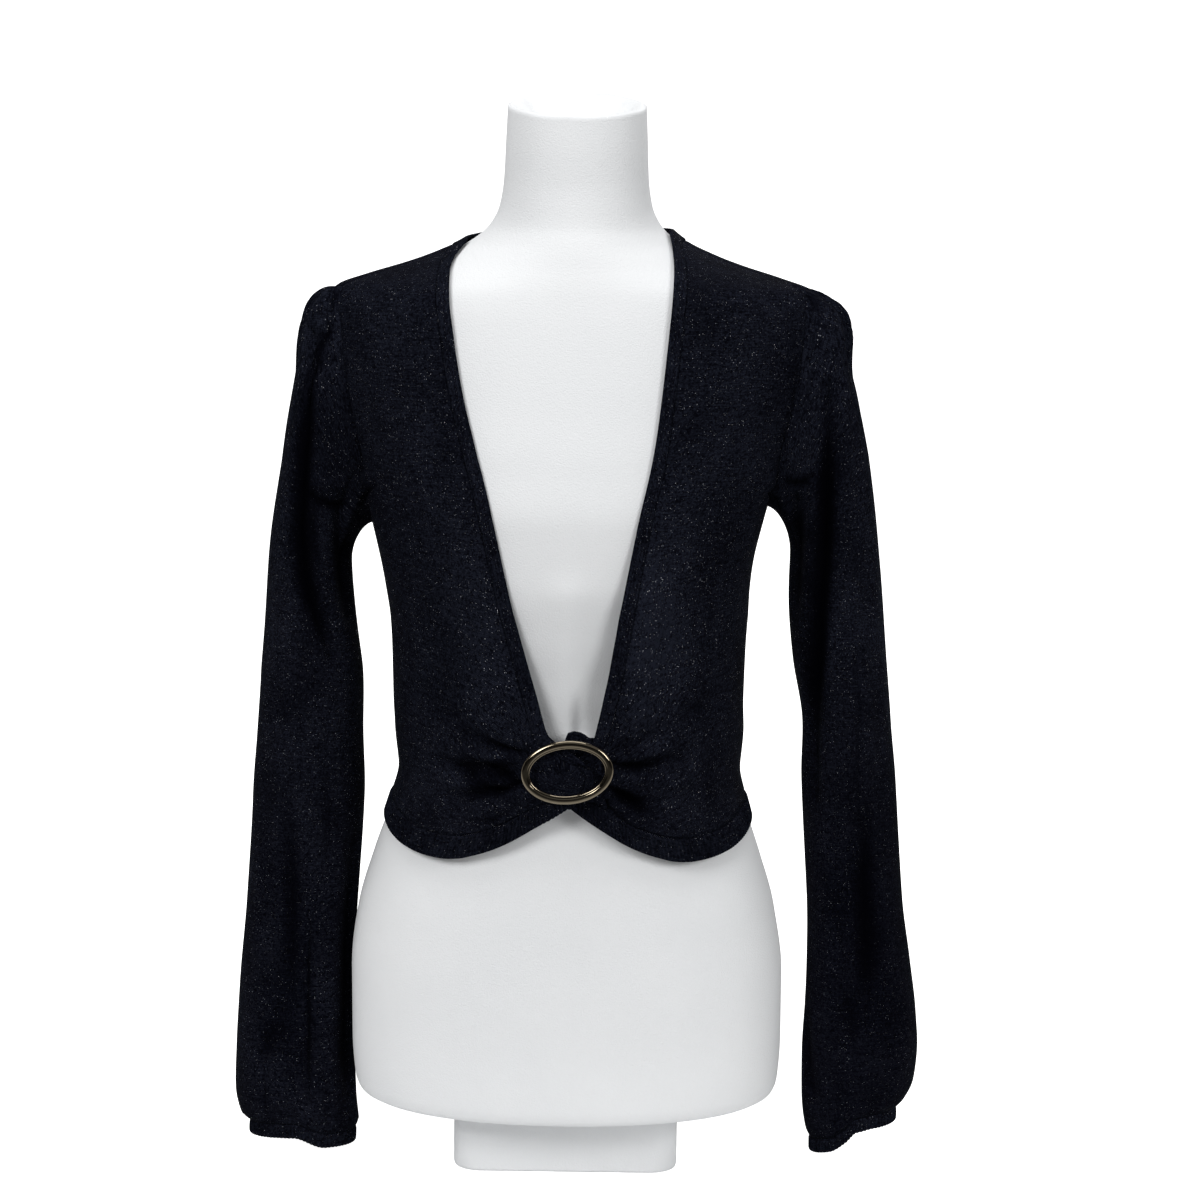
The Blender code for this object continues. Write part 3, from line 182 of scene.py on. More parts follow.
# degrees from the front, height of the hem's lower edge
hemLine = ((0, 297.3), (5, 289), (10, 281.2), (18, 269), (23, 263), (28, 258.5), (34, 254.5), (40, 253.2),
           (46, 253.7), (58, 257), (66, 260.5), (78, 266), (90, 269), (180, 270))
hemCurve = tableCurves(hemLine, (1, mm))[0]
sideFoot = hemCurve(90.0)
Cut = namedtuple("Cut", "underarm seam point seamTop seamHem holeFront holeBack fullness")
cuts = {            # underarm height, shoulder seam and point, side seam, armhole hollows, sleeve head's fullness
    right: Cut(0.4900, 76.0, 0.1700, 88.0, 70.0, 13.0, 15.0, 0.75),
    left: Cut(0.5060, 76.0, 0.1560, 88.0, 86.0, 15.0, 16.0, 1.20),
}
folds = {           # width, depth and both ends (x, z) of each fold in the front or back view; a positive one sinks
    right: ((6, 4, -30, 334, -75, 346), (6, 5.3, -32, 324, -95, 322), (5.5, 5, -30, 313, -85, 298),
            (5, -3.4, -34, 329, -70, 334), (5.5, -4.7, -34, 318, -85, 309), (5.5, -3.7, -28, 307, -65, 288),
            (13, -3.5, -126, 538, -140, 520), (8, 1.2, -108, 500, -138, 498), (16, 2, -85, 455, -100, 330),
            (14, -2.5, -62, 420, -58, 360), (2.2, 1.4, -36, 336.5, -58, 340), (2.4, 1.8, -37, 329, -66, 327),
            (2.4, 2, -37, 321.5, -62, 315), (2.4, 1.8, -34, 314, -56, 303), (2.2, 1.4, -30, 307.5, -46, 296),
            (7, 1.2, -70, 350, -108, 372), (6, 1.2, -80, 292, -118, 283), (3, 3.6, -166.1, 506.7, -153.6, 512.8),
            (3, 3.4, -152.4, 514.6, -140.7, 522.8), (5, -2, -161.6, 519, -147, 526.5),
            (3.4, 4.6, -55, 322.4, -29.8, 312.5), (5, 4, -79.6, 318, -52.9, 308.1),
            (2, 2, -64.5, 347.2, -45.8, 337.9), (2, 2, -45.7, 338.4, -27.8, 336.4),
            (2.2, 2.4, -70.7, 283.5, -54.9, 284.5), (2.2, 2.4, -54.7, 285.7, -34.7, 299.2),
            (4, 3.4, 20.5, 337, 26.2, 325), (3.5, 3, 26.2, 325, 21.5, 312), (1.6, 1.8, -22.6, 324, 1.3, 324.5),
            (2, 2.4, 1.3, 338.7, 6.7, 329), (1.8, 2.2, 6.7, 329, 13.8, 327.2), (2, 2.4, 13.8, 327.2, 19.1, 321),
            (4.5, 3.6, 13, 336.5, 20, 331)),
    left: ((6, 3.7, 32, 336, 62, 352), (5.5, 4.7, 34, 328, 80, 330), (5.5, 5.9, 30, 312, 62, 289),
           (5, -3.4, 36, 332, 72, 341), (6, -4.7, 34, 320, 82, 312), (5, -2.8, 24, 306, 44, 288),
           (13, -3.5, 116, 544, 138, 528), (8, 1.2, 100, 520, 136, 512), (15, -4.5, 52, 440, 46, 365),
           (16, 2, 90, 450, 102, 335), (2.2, 1.4, 37, 334.5, 60, 340), (2.4, 1.8, 38, 326, 66, 324),
           (2.4, 1.8, 37, 318, 60, 311), (2.4, 2, 32, 309, 50, 298), (2, 1.4, 24, 304, 38, 293),
           (7, 1.2, 68, 352, 104, 372), (6, 1.2, 72, 300, 106, 286), (3, 3.4, 142.9, 518.4, 156, 525.2),
           (2, 4, 21.2, 312.2, 29.3, 297.7), (2, 4, 29.3, 297.2, 43.1, 284.9), (4.5, 3.8, 31, 327.6, 59.8, 322.2),
           (4.5, 3.6, 29.1, 308.5, 60.2, 298.6), (2.4, 3, 15.1, 336.3, 22.5, 319.6), (4, 3.4, 20.5, 337, 26.2, 325),
           (3.5, 3, 26.2, 325, 21.5, 312)),
    behind: ((12, -4.5, -112, 545, -136, 512), (12, -4.5, 112, 555, 136, 526), (15, -3.5, -52, 400, -66, 285),
             (16, -4, 34, 420, 50, 290), (13, -3, 94, 380, 106, 290), (13, 3, -12, 360, -20, 280),
             (9, 1.8, -90, 520, -120, 470), (9, 1.8, 92, 530, 122, 478)),
}


def sideAngle(side, height):
    # the side seam's angle, straight in height from the underarm to the hem
    cut = cuts[side]
    fall = np.clip((cut.underarm - height) / (cut.underarm - sideFoot), 0.0, 1.0)
    return side * np.radians(cut.seamTop + (cut.seamHem - cut.seamTop) * fall)


def awayFromSeam(places):
    # 0 at the side seams and 1 away from them, so that both sides of a seam lie alike
    angle, height = places[..., 0], places[..., 1]
    turn = np.arctan2(np.sin(angle), np.cos(angle))
    near = np.zeros_like(height)
    for side, cut in cuts.items():
        below = 1 - ramp(height, cut.underarm, cut.underarm + 0.02)
        near += (1 - ramp(np.abs(turn - sideAngle(side, height)), 0.01, 0.13)) * below
    return 1 - near


def creaseDepth(points, creases, spread=0.0):
    # sum of depth exp(-(distance to the crease's line of points / width)^2) in the front view; with a spread, of
    # the sinking ones alone, that much wider and with ends that fade over a third of the line
    x, z = points[..., 0], points[..., 2]
    total = np.zeros_like(x)
    for width, depth, *line in creases:
        if spread and depth < 0:
            continue
        line = np.reshape(line, (-1, 2)) * mm
        away, part = np.ones_like(x), np.zeros_like(x)
        for step, (start, end) in enumerate(zip(line[:-1], line[1:])):
            runX, runZ = end - start
            along = np.clip(((x - start[0]) * runX + (z - start[1]) * runZ) / (runX ** 2 + runZ ** 2), 0.0, 1.0)
            near = np.hypot(x - start[0] - along * runX, z - start[1] - along * runZ)
            part = np.where(near < away, (step + along) / (len(line) - 1), part)
            away = np.minimum(away, near)
        faded = 0.25 + 0.75 * ramp(np.minimum(part, 1 - part), 0.0, 0.33) if spread else 1.0
        total += depth * mm * faded * bell(away, width * mm * (spread or 1.0))
    return total


def foldShade(trough, depth=0.0030):
    # 1 - exp(-(trough / depth)^2): painted shade that darkens the yarn at the bottom of a fold
    return 1 - bell(np.maximum(trough, 0.0), depth)


def bodyFolds(places, side, spread=0.0):
    # the straight folds of one panel, flat at its side seams
    return creaseDepth(torso(places), folds[side], spread) * awayFromSeam(places)


def draped(places, side):
    # worn surface moved along its normal by the folds and by the fronts' crossing behind the ring
    base = torso(places)
    x, z = base[..., 0], base[..., 2]
    height = -bodyFolds(places, side)
    atRing = ramp(z, 0.280, 0.300) * (1 - ramp(z, 0.350, 0.375))
    if side == right:
        height += cloth["crossingLift"] * atRing * ramp(x, -0.040, -0.014)
    if side == left:
        height -= cloth["crossingSink"] * atRing * (1 - ramp(x, 0.018, 0.034))
        aboveRing = ramp(z, 0.360, 0.400) * (1 - ramp(z, 0.440, 0.520))
        height += cloth["leftFullness"] * aboveRing * (1 - ramp(x, 0.036, 0.070))
    return base + torsoNormal(places) * height[..., None]


def drapedNormals(places, side):
    # cross product of small steps round and up on the draped surface
    return unit(np.cross(*slopes(lambda moved: draped(moved, side), places, 0.002, 0.0003)))


def shoulderHeight(out, angle):
    # the height at which the worn half width, seen at this angle, falls to out
    heights = np.linspace(0.646, 0.715, finePoints)
    return np.interp(-np.asarray(out), -halfWidth(heights) * np.sin(angle), heights)


def spaced(places, count):
    # the same run of places, count of them at equal distances along the cloth
    run = runLength(torso(places))
    at = run[-1] * np.linspace(0.0, 1.0, count)
    return joined(*(np.interp(at, run, column) for column in places.T))


def patch(start, end, foot, top, hold=1.0):
    # Coons patch of angle and distance up the side: both rulings added, less the bilinear corners
    start, end, foot, top = (joined(edge[:, 0], np.interp(edge[:, 1], profileHeights, profileRun))
                             for edge in (start, end, foot, top))
    up = np.linspace(0, 1, len(start))[:, None, None] ** hold
    across = np.linspace(0, 1, len(foot))[None, :, None]
    places = ((1 - across) * start[:, None] + across * end[:, None] + (1 - up) * foot[None] + up * top[None]
              - (1 - up) * ((1 - across) * start[0] + across * end[0])
              - up * ((1 - across) * start[-1] + across * end[-1]))
    places[..., 1] = np.interp(places[..., 1], profileRun, profileHeights)
    return places


def gridNumbers(rows, cols, closed=True):
    # point numbers of a grid; a closed one has its first column again at the end
    number = np.arange(rows * cols).reshape(rows, cols)
    return np.concatenate([number, number[:, :1]], axis=1) if closed else number


def gridQuads(number):
    # four neighbouring points a quad
    low, high = number[:-1], number[1:]
    return np.stack([low[:, :-1], low[:, 1:], high[:, 1:], high[:, :-1]], axis=-1).reshape(-1, 4)


def cappedQuads(rows, cols):
    # quads of a closed grid, with a middle point under its first row and another over its last
    number = gridNumbers(rows, cols)
    pairs = np.arange(0, cols, 2)
    low, high = (np.stack([rim[pairs], rim[pairs + 1], rim[pairs + 2], np.full(len(pairs), middle)], axis=1)
                 for rim, middle in ((number[0], rows * cols), (number[-1], rows * cols + 1)))
    return np.concatenate([gridQuads(number), low[:, [2, 1, 0, 3]], high])


def newObject(name, points, quads, material):
    mesh = bpy.data.meshes.new(name)
    mesh.from_pydata(points.reshape(-1, 3).tolist(), [], quads.tolist())
    mesh.materials.append(material)
    mesh.polygons.foreach_set("use_smooth", np.ones(len(quads), bool))
    piece = bpy.data.objects.new(name, mesh)
    bpy.context.scene.collection.objects.link(piece)
    return piece


def putPiece(name, points, quads, uv, uvQuads, material, replaced):
    # one finished object with its own UV map in metres of cloth
    piece = newObject(name, points, quads, material)
    corners = uv.reshape(-1, 2)[uvQuads.ravel()].astype(np.float32)
    piece.data.uv_layers.new(name="clothMap").data.foreach_set("uv", corners.ravel())
    piece.data.update()
    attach(piece, "root")
    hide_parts(replaced)
    return piece


pieceNames = {"neck_band_back": "neck_band_knit", "ring_loop": "ring_tab_knit"}


def clothWall(inner, normals, thickness, uv, node, closed=False, soft=True, shade=None):
    # outer = inner + normal * thickness, closed by rims; soft rims are thinned by half, so that they look rolled
    rows, cols = inner.shape[:2]
    thickness = np.broadcast_to(thickness, (rows, cols)).copy()
    if soft:
        thickness[[0, -1]] *= 0.5
        if not closed:
            thickness[:, [0, -1]] *= 0.5
    points = np.concatenate([inner, inner + normals * thickness[..., None]])
    quadSets = []
    for number, shift in ((gridNumbers(rows, cols, closed), rows * cols),
                          (gridNumbers(*uv.shape[:2], closed=False), uv[..., 0].size)):
        rims = [number[0], number[-1][::-1]] + ([] if closed else [number[::-1, 0], number[:, -1]])
        quadSets.append(np.concatenate([gridQuads(number) + shift, gridQuads(number)[:, ::-1]]
                                       + [gridQuads(np.stack([rim, rim + shift])) for rim in rims]))
    name = pieceNames.get(node, node + "_knit")
    piece = putPiece(name, points, quadSets[0], np.concatenate([uv, uv]), quadSets[1], knit, node)
    # the foldShade attribute carries painted shade into the knit's colour
    if shade is not None:
        field = piece.data.attributes.new("foldShade", "FLOAT", "POINT")
        field.data.foreach_set("value", np.concatenate([shade, shade]).astype(np.float32).ravel())
    return piece


def bodyUv(places, side):
    # wales run up the body, and the courses dip towards the ring, which pulls the cloth down by pull exp(-d / reach)
    points = torso(places)
    up = np.interp(places[..., 1], profileHeights, profileRun)
    if side:
        away = np.hypot(points[..., 0], points[..., 2] - ringLook["centre"][1])
        up = up + cloth["ringPull"] * np.exp(-away / cloth["pullReach"])
    return joined(places[..., 0] * cloth["turnLength"], up)


def runUv(points, closed=False):
    # mean distance along the rows and up the columns
    if closed:
        points = np.concatenate([points, points[:, :1]], axis=1)
    lengths = [np.linalg.norm(np.diff(points, axis=axis), axis=-1).mean(axis=1 - axis) for axis in (1, 0)]
    u, v = (np.concatenate([[0.0], np.cumsum(length)]) for length in lengths)
    return joined(u[None], v[:, None])


def facingOut(grid, side):
    # columns turn to the wearer's left, so that the faces point out
    return grid[:, ::-1] if side == right else grid


def linear(hexColour):
    # sRGB hex to linear: ((c + 0.055) / 1.055)^2.4, or c / 12.92 when dark
    parts = [int(hexColour[k:k + 2], 16) / 255 for k in (1, 3, 5)]
    return tuple(((c + 0.055) / 1.055) ** 2.4 if c > 0.04045 else c / 12.92 for c in parts) + (1.0,)


def addNode(tree, kind, inputs=(), **attributes):
    # an input is a value or another node's output
    node = tree.nodes.new("ShaderNode" + kind)
    for key, value in attributes.items():
        setattr(node, key, value)
    for key, value in dict(inputs).items():
        if isinstance(value, bpy.types.NodeSocket):
            tree.links.new(value, node.inputs[key])
        else:
            node.inputs[key].default_value = value
    return node.outputs


def calculated(tree, operation, *terms, **attributes):
    # a Math node's result
    return addNode(tree, "Math", enumerate(terms), operation=operation, **attributes)[0]


def product(tree, *terms, **attributes):
    return calculated(tree, "MULTIPLY", *terms, **attributes)


def mapped(tree, value, fromLow, fromHigh, toLow, toHigh):
    # the value brought from one range into another, held at its ends
    return addNode(tree, "MapRange", enumerate((value, fromLow, fromHigh, toLow, toHigh)))[0]


def blended(tree, share, first, second):
    return addNode(tree, "Mix", {0: share, 6: first, 7: second}, data_type="RGBA")[2]


def noise(tree, place, scale, detail, roughness=0.5):
    # three scales stretch the noise by a mapping
    if isinstance(scale, tuple):
        place, scale = addNode(tree, "Mapping", {"Vector": place, "Scale": scale})[0], 1.0
    return addNode(tree, "TexNoise", {"Vector": place, "Scale": scale, "Detail": detail, "Roughness": roughness})[0]


def bumped(tree, height, strength, distance):
    return addNode(tree, "Bump", {"Height": height, "Strength": strength, "Distance": distance})[0]


def newMaterial(name):
    material = bpy.data.materials.new(name)
    material.use_nodes = True
    material.node_tree.nodes.clear()
    return material, material.node_tree


def finishShader(tree, inputs):
    # a Principled shader on the tree's output
    addNode(tree, "OutputMaterial", {"Surface": addNode(tree, "BsdfPrincipled", inputs)["BSDF"]})


knitLook = {
    "yarn": "#020206", "yarnLight": "#21242f",      # near-black navy yarn and its lighter hairs
    "thread": "#d2d4dc",                            # the thin metallic thread
    "wale": 0.0011, "course": 0.0010,               # real size of a fine-gauge stitch
    "legSlant": 1.2, "stitchHeight": 0.00030, "threadSize": 0.21, "threadShare": 0.65, "threadContrast": 2.4,
}


def makeKnit(name):
    # fine-gauge stocking stitch in a viscose yarn with a metallic thread: V-shaped stitches, heathered, with glints
    look = knitLook
    material, tree = newMaterial(name)
    cloths = addNode(tree, "UVMap", uv_map="clothMap")["UV"]
    split = addNode(tree, "SeparateXYZ", {0: cloths})
    wale = calculated(tree, "DIVIDE", split["X"], look["wale"])
    course = calculated(tree, "DIVIDE", split["Y"], look["course"])
    # each stitch is a V: sin 2 pi (course + 1.2 |saw|), with a cos groove between the wales
    waleSaw = calculated(tree, "PINGPONG", wale, 0.5)
    lean = calculated(tree, "MULTIPLY_ADD", waleSaw, look["legSlant"], course)
    leg = calculated(tree, "SINE", product(tree, lean, 2 * np.pi))
    ridge = calculated(tree, "COSINE", product(tree, waleSaw, 4 * np.pi))
    stitches = calculated(tree, "MULTIPLY_ADD", ridge, -0.5, leg)
    # one random value a stitch: Voronoi cells as wide as a stitch, which also give the thread's glints
    cellPlace = addNode(tree, "CombineXYZ", {0: wale, 1: course})[0]
    cells = addNode(tree, "TexVoronoi", {"Vector": cellPlace, "Scale": 1.0, "Randomness": 0.8})
    pick = addNode(tree, "SeparateColor", {0: cells["Color"]})
    lit = mapped(tree, pick[0], 1 - look["threadShare"], 1.0, 0.0, 1.0)
    strong = calculated(tree, "POWER", lit, look["threadContrast"])
    close = calculated(tree, "LESS_THAN", cells["Distance"], look["threadSize"])
    # the thread shows more in some patches, about 12 mm by 4 mm; painted shade from the foldShade attribute darkens
    # the yarn and the thread in folds and towards the cuffs
    shown = mapped(tree, noise(tree, cloths, (80.0, 240.0, 1.0), 1.0), 0.40, 0.68, 0.12, 1.0)
    sunk = addNode(tree, "Attribute", attribute_name="foldShade")["Fac"]
    unshaded = calculated(tree, "SUBTRACT", 1.0, sunk)
    glint = product(tree, product(tree, product(tree, strong, close), shown), unshaded)
    # heather: light and dark yarn by the stitch's value, by streaks along the courses and by broad patches; with it
    # the painted shade of the stitches' grooves and of folds
    streak = mapped(tree, noise(tree, cloths, (60.0, 1000.0, 1.0), 3.0, 0.6), 0.30, 0.62, 0.25, 1.0)
    mottle = product(tree, mapped(tree, pick[1], 0.0, 1.0, 0.08, 1.02), streak)
    # painted shade in the grooves between the stitch legs, painted light on their tops
    stitchShade = mapped(tree, stitches, -1.2, 1.0, 0.35, 1.5)
    worn = mapped(tree, noise(tree, cloths, (22.0, 14.0, 1.0), 2.0), 0.3, 0.7, 0.6, 1.4)
    heatherAndShade = product(tree, product(tree, mottle, stitchShade), product(tree, worn, unshaded), use_clamp=True)
    yarn = blended(tree, heatherAndShade, linear(look["yarn"]), linear(look["yarnLight"]))
    finishShader(tree, {"Base Color": blended(tree, glint, yarn, linear(look["thread"])), "Metallic": glint,
                        "Roughness": mapped(tree, glint, 0.0, 1.0, 0.85, 0.35), "Specular IOR Level": 0.01,
                        "Normal": bumped(tree, stitches, 0.6, look["stitchHeight"])})
    return material


def makeRingMetal():
    # cast zinc alloy, polished and plated dark nickel: a warm grey mirror with faint unevenness
    material, tree = newMaterial("platedZincAlloy")
    wear = noise(tree, addNode(tree, "TexCoord")["Object"], 160.0, 2.0)
    # the base colour is darker than bright plating: partly the plating's dark tone, partly painted dark reflection
    # that stands in for a dim room
    finishShader(tree, {"Base Color": linear("#7b7262"), "Metallic": 1.0,
                        "Roughness": mapped(tree, wear, 0.3, 0.7, 0.02, 0.05),
                        "Normal": bumped(tree, wear, 0.06, 0.0003)})
    return material


def makeCover():
    # white cotton jersey stretched over foam: very fine wales, matt, faintly uneven
    material, tree = newMaterial("stretchedJersey")
    place = addNode(tree, "TexCoord")["Object"]
    colour = blended(tree, noise(tree, place, 7.0, 3.0), linear("#e4e6e8"), linear("#f2f3f4"))
    finishShader(tree, {"Base Color": colour, "Roughness": 0.9, "Sheen Weight": 0.08, "Specular IOR Level": 0.25,
                        "Normal": bumped(tree, noise(tree, place, 900.0, 1.0), 0.55, 0.0006)})
    return material


knit = makeKnit("metallicFineKnit")
ringMetal = makeRingMetal()
cover = makeCover()
print("materials made")


def edgeReach(side, inset=0.0):
    # how far out the front edge, or a line inset from it, meets the shoulder seam
    return halfWidth(frontEdge[side][-1][0] * mm) * np.sin(np.radians(cuts[side].seam)) + inset


def edgePlaces(side, inset):
    # the front edge's curve, moved inset further round, up to the shoulder seam
    table = np.array(frontEdge[side]) * mm
    seam = np.radians(cuts[side].seam) - seamAngle(seamGap / 2)
    outs = np.append(table[:-1, 1], edgeReach(side))
    heights = np.linspace(table[0, 0], table[-1, 0], finePoints)
    out = smoothCurve(table[:, 0], outs)(heights)
    angle = np.arcsin(out / halfWidth(heights))
    reachPerAngle = np.linalg.norm(slopes(torso, joined(angle, heights))[0], axis=1) / (2 * tiny)
    slant = np.hypot(1.0, np.gradient(out, heights))
    drawnIn = 0.62 + 0.38 * ramp(heights, 0.318, 0.360)     # the band is narrower where the ring holds it
    angle = angle + inset * slant * drawnIn / reachPerAngle
    corner = np.array([seam, shoulderHeight(edgeReach(side, inset), seam)])
    kept = (angle < seam - 0.02) & (heights < corner[1] - 0.002)
    return np.concatenate([joined(angle, heights)[kept], corner[None]]) * (side, 1)


def shifted(run, gap):
    # places moved sideways on the cloth by the gap, solved in the surface's own two directions
    aside = unit(np.cross(np.gradient(torso(run), axis=0), torsoNormal(run))) * gap
    turn, rise = slopes(torso, run)
    tt, rr, tr = (turn * turn).sum(1), (rise * rise).sum(1), (turn * rise).sum(1)
    at, ar = (aside * turn).sum(1), (aside * rise).sum(1)
    return run + joined(at * rr - ar * tr, ar * tt - at * tr) * (2 * tiny / (tt * rr - tr * tr))[:, None]


def armholeRun(side, back, count):
    # height falls as (1 + cos t) / 2; the angle swings out by |sin t|^0.8 in front and behind
    cut = cuts[side]
    turn = np.linspace(np.pi, 2 * np.pi if back else 0.0, finePoints)
    seam = np.radians(cut.seam)
    rise = (1 + np.cos(turn)) / 2
    swing = np.radians(np.where(turn < np.pi, -cut.holeFront, cut.holeBack)) * np.abs(np.sin(turn)) ** 0.8
    angle = np.radians(cut.seamTop) * (1 - rise) + seam * rise + swing
    top = shoulderHeight(cut.point, seam)
    return spaced(joined(side * angle, cut.underarm + (top - cut.underarm) * rise), count)


def seamAngle(gap):
    # the angle that a short distance spans at the sides of the body
    return gap / 0.132


def hemLow(angle, side):
    # the lower edge, which stays level where a front laps past the middle
    turn = np.maximum(angle * side, 0.0) if side else np.abs(np.arctan2(np.sin(angle), np.cos(angle)))
    return hemCurve(np.degrees(turn))


def hemTop(angle, side):
    # the hem is drawn in to half its depth behind the ring
    full = ramp(np.degrees(np.maximum(angle * side, 0.0)), 0.0, 11.0) if side else 1.0
    return hemLow(angle, side) + cloth["hemDrawnIn"] + (cloth["hemDepth"] - cloth["hemDrawnIn"]) * full


def sideEdge(side, back):
    # the side seam up from the hem, then half of the armhole
    heights = np.linspace(hemTop(sideAngle(side, sideFoot), side) + seamGap, cuts[side].underarm, finePoints)
    seam = spaced(joined(sideAngle(side, heights), heights), panels["seamRows"] + 1)
    seam[:, 0] += (side if back else -side) * seamAngle(seamGap / 2)
    return np.concatenate([seam, armholeRun(side, back, panels["holeRows"] + 1)[1:]])


def shoulderPlaces(side, start, end, count, gap):
    angle = np.radians(cuts[side].seam) + seamAngle(gap)
    return joined(side * angle, shoulderHeight(np.linspace(start, end, count), angle))


def footLine(start, end, side, count):
    angles = np.linspace(start, end, finePoints)
    return spaced(joined(angles, hemTop(angles, side) + seamGap), count)


panels = {"frontColumns": 96, "seamRows": 84, "holeRows": 84, "backColumns": (34, 62, 34),
          "frontCut": {right: (0.205, 0.475, 0.050), left: (0.205, 0.485, 0.057)}, "backCut": (0.440, 0.465, 0.177),
          "lighterBelowBust": {right: 0.45, left: 1.6}}    # how much lighter each front's yarn is made below the bust


def frontEdges(side):
    # the four edges of one front: band seam, side seam with armhole, foot and shoulder
    columns, rows = panels["frontColumns"], panels["seamRows"] + panels["holeRows"]
    start = shifted(spaced(edgePlaces(side, cloth["bandWidth"]), rows + 1), seamGap * side)
    end = sideEdge(side, False)
    foot = footLine(start[0, 0], end[0, 0], side, columns + 1)
    reach = edgeReach(side, cloth["bandWidth"] + seamGap)
    top = shoulderPlaces(side, reach, cuts[side].point, columns + 1, -seamGap / 2)
    start[0], start[-1], end[0], end[-1] = foot[0], top[0], foot[-1], top[-1]
    return start, end, foot, top


def makePanel(places, side, node, lightening=0.0):
    # one piece of plain knit draped over the form
    # painted shade darkens the yarn in the folds, less the lightening below the bust on the fronts
    shade = foldShade(bodyFolds(places, side, 1.1), cloth["foldShadeScale"]) - lightening
    return clothWall(draped(places, side), drapedNormals(places, side), cloth["thickness"], bodyUv(places, side),
                     node, shade=shade)


def makeFront(side):
    # the yarn is made lighter below the bust, more on the left front, through the shade attribute
    places = facingOut(patch(*frontEdges(side)), side)
    flat = torso(places)
    lightening = panels["lighterBelowBust"][side] * bell(np.abs(flat[..., 0]) - 0.058, 0.036) * bell(flat[..., 2] - 0.430, 0.060)
    return makePanel(places, side, "front_" + sideNames[side], lightening)


bandSteps = np.array([0.0, 0.03, 0.10, 0.25, 0.5, 0.75, 0.90, 0.97, 1.0])
bandRoll = np.interp(bandSteps, [0.0, 0.03, 0.10, 0.90, 0.97, 1.0], [0.35, 0.8, 1.0, 1.0, 0.75, 0.4])


def makeFrontBand(side):
    # the doubled strip between the front edge and its seam; the fold at the edge is rolled
    edge, seam = (spaced(edgePlaces(side, inset), 260)[:, None] for inset in (0.0, cloth["bandWidth"]))
    steps = bandSteps[None, :, None]
    places = facingOut(edge * (1 - steps) + seam * steps, side)
    inner = draped(places, side)
    thickness = cloth["bandThickness"] * facingOut(bandRoll[None], side)
    return clothWall(inner, drapedNormals(places, side), thickness, runUv(inner)[..., ::-1],
                     "front_band_" + sideNames[side], soft=False)


def neckline(inset, count):
    # each half goes from the shoulder seam to the middle of the back, its height by sin^1.5
    halves = []
    around = np.linspace(0, 1, finePoints // 2)
    level = cloth["backNeck"] - inset * cloth["necklineFall"]
    for side in (right, left):
        angle, height = shoulderPlaces(side, edgeReach(side, inset), 1.0, 1, seamGap / 2)[0]
        turned = side * angle + (np.pi - side * angle) * around
        halves.append(joined(np.pi + side * (turned - np.pi),
                             height + (level - height) * np.sin(around * np.pi / 2) ** 1.5))
    return spaced(np.concatenate([halves[0], halves[1][::-1][1:]]), count)


def makeNeckBand():
    steps = bandSteps[:, None, None]
    places = (neckline(cloth["bandWidth"], 150)[None] * (1 - steps) + neckline(0.0, 150)[None] * steps)[:, ::-1]
    inner = draped(places, behind)
    return clothWall(inner, drapedNormals(places, behind), cloth["bandThickness"] * bandRoll[::-1, None],
                     runUv(inner), "neck_band_back", soft=False)


def backEdges():
    columns = panels["backColumns"]
    start, end = (sideEdge(side, True) for side in (right, left))
    neck = shifted(neckline(cloth["bandWidth"], columns[1] + 1), -seamGap)
    reach = {side: edgeReach(side, cloth["bandWidth"] + seamGap) for side in (right, left)}
    over = shoulderPlaces(right, cuts[right].point, reach[right], columns[0] + 1, 2 * seamGap)
    under = shoulderPlaces(left, reach[left], cuts[left].point, columns[2] + 1, 2 * seamGap)
    for run in (start, over):
        run[:, 0] += 2 * np.pi
    neck[0], neck[-1] = over[-1], under[0]
    top = np.concatenate([over, neck[1:], under[1:]])
    foot = footLine(start[0, 0], end[0, 0], behind, sum(columns) + 1)
    start[0], end[0], start[-1], end[-1] = foot[0], foot[-1], top[0], top[-1]
    return start, end, foot, top


def ribThickness(run):
    # valley + (crest - valley) (0.5 + 0.5 cos)^0.6 at one rib every pitch
    wave = (0.5 + 0.5 * np.cos(2 * np.pi * run / cloth["ribPitch"])) ** 0.6
    return cloth["ribValley"] + (cloth["ribCrest"] - cloth["ribValley"]) * wave


def ribbedStrip(seamLine, seamNormals, low, lowNormals, node, closed=False):
    # straight ruling from the lower edge to the seam; the ribs fade at the seam and roll over at the foot
    steps = np.array([0.0, 0.02, 0.07, 0.18, 0.40, 0.65, 0.85, 0.95, 1.0])
    shape = np.interp(steps, [0.0, 0.02, 0.07, 0.93, 1.0], [0.35, 0.8, 1.0, 1.0, 0.45])[:, None]
    steps = steps[:, None, None]
    inner = low[None] * (1 - steps) + seamLine[None] * steps
    normals = unit(lowNormals[None] * (1 - steps) + seamNormals[None] * steps)
    run = runLength(np.concatenate([seamLine, seamLine[:1]]) if closed else seamLine)
    if closed:      # a whole number of ribs round the tube
        run = run[:-1] * (round(run[-1] / cloth["ribPitch"]) * cloth["ribPitch"] / run[-1])
    return clothWall(inner, normals, ribThickness(run)[None] * shape, runUv(inner, closed), node, closed, soft=False)


def resampled(rows, count):
    # a closed run filled in evenly by straight lines
    rows = np.concatenate([rows, rows[:1]])
    at = np.linspace(0, len(rows) - 1, count + 1)[:-1]
    return joined(*(np.interp(at, np.arange(len(rows)), column) for column in rows.T))


ribColumns = 8      # columns of points a rib


def makeHem(start, end, side, node):
    # between the hem's lower line and the panel's foot, less the seam's gap
    start, end = min(start, end), max(start, end)
    foot = footLine(start, end, side, int((end - start) * cloth["hemTurn"] / cloth["ribPitch"] * ribColumns))
    down = unit(draped(foot - (0, 0.002), side) - draped(foot, side))
    low = joined(foot[:, 0], hemLow(foot[:, 0], side))
    return ribbedStrip(draped(foot, side) + down * seamGap, drapedNormals(foot, side), draped(low, side),
                       drapedNormals(low, side), node)


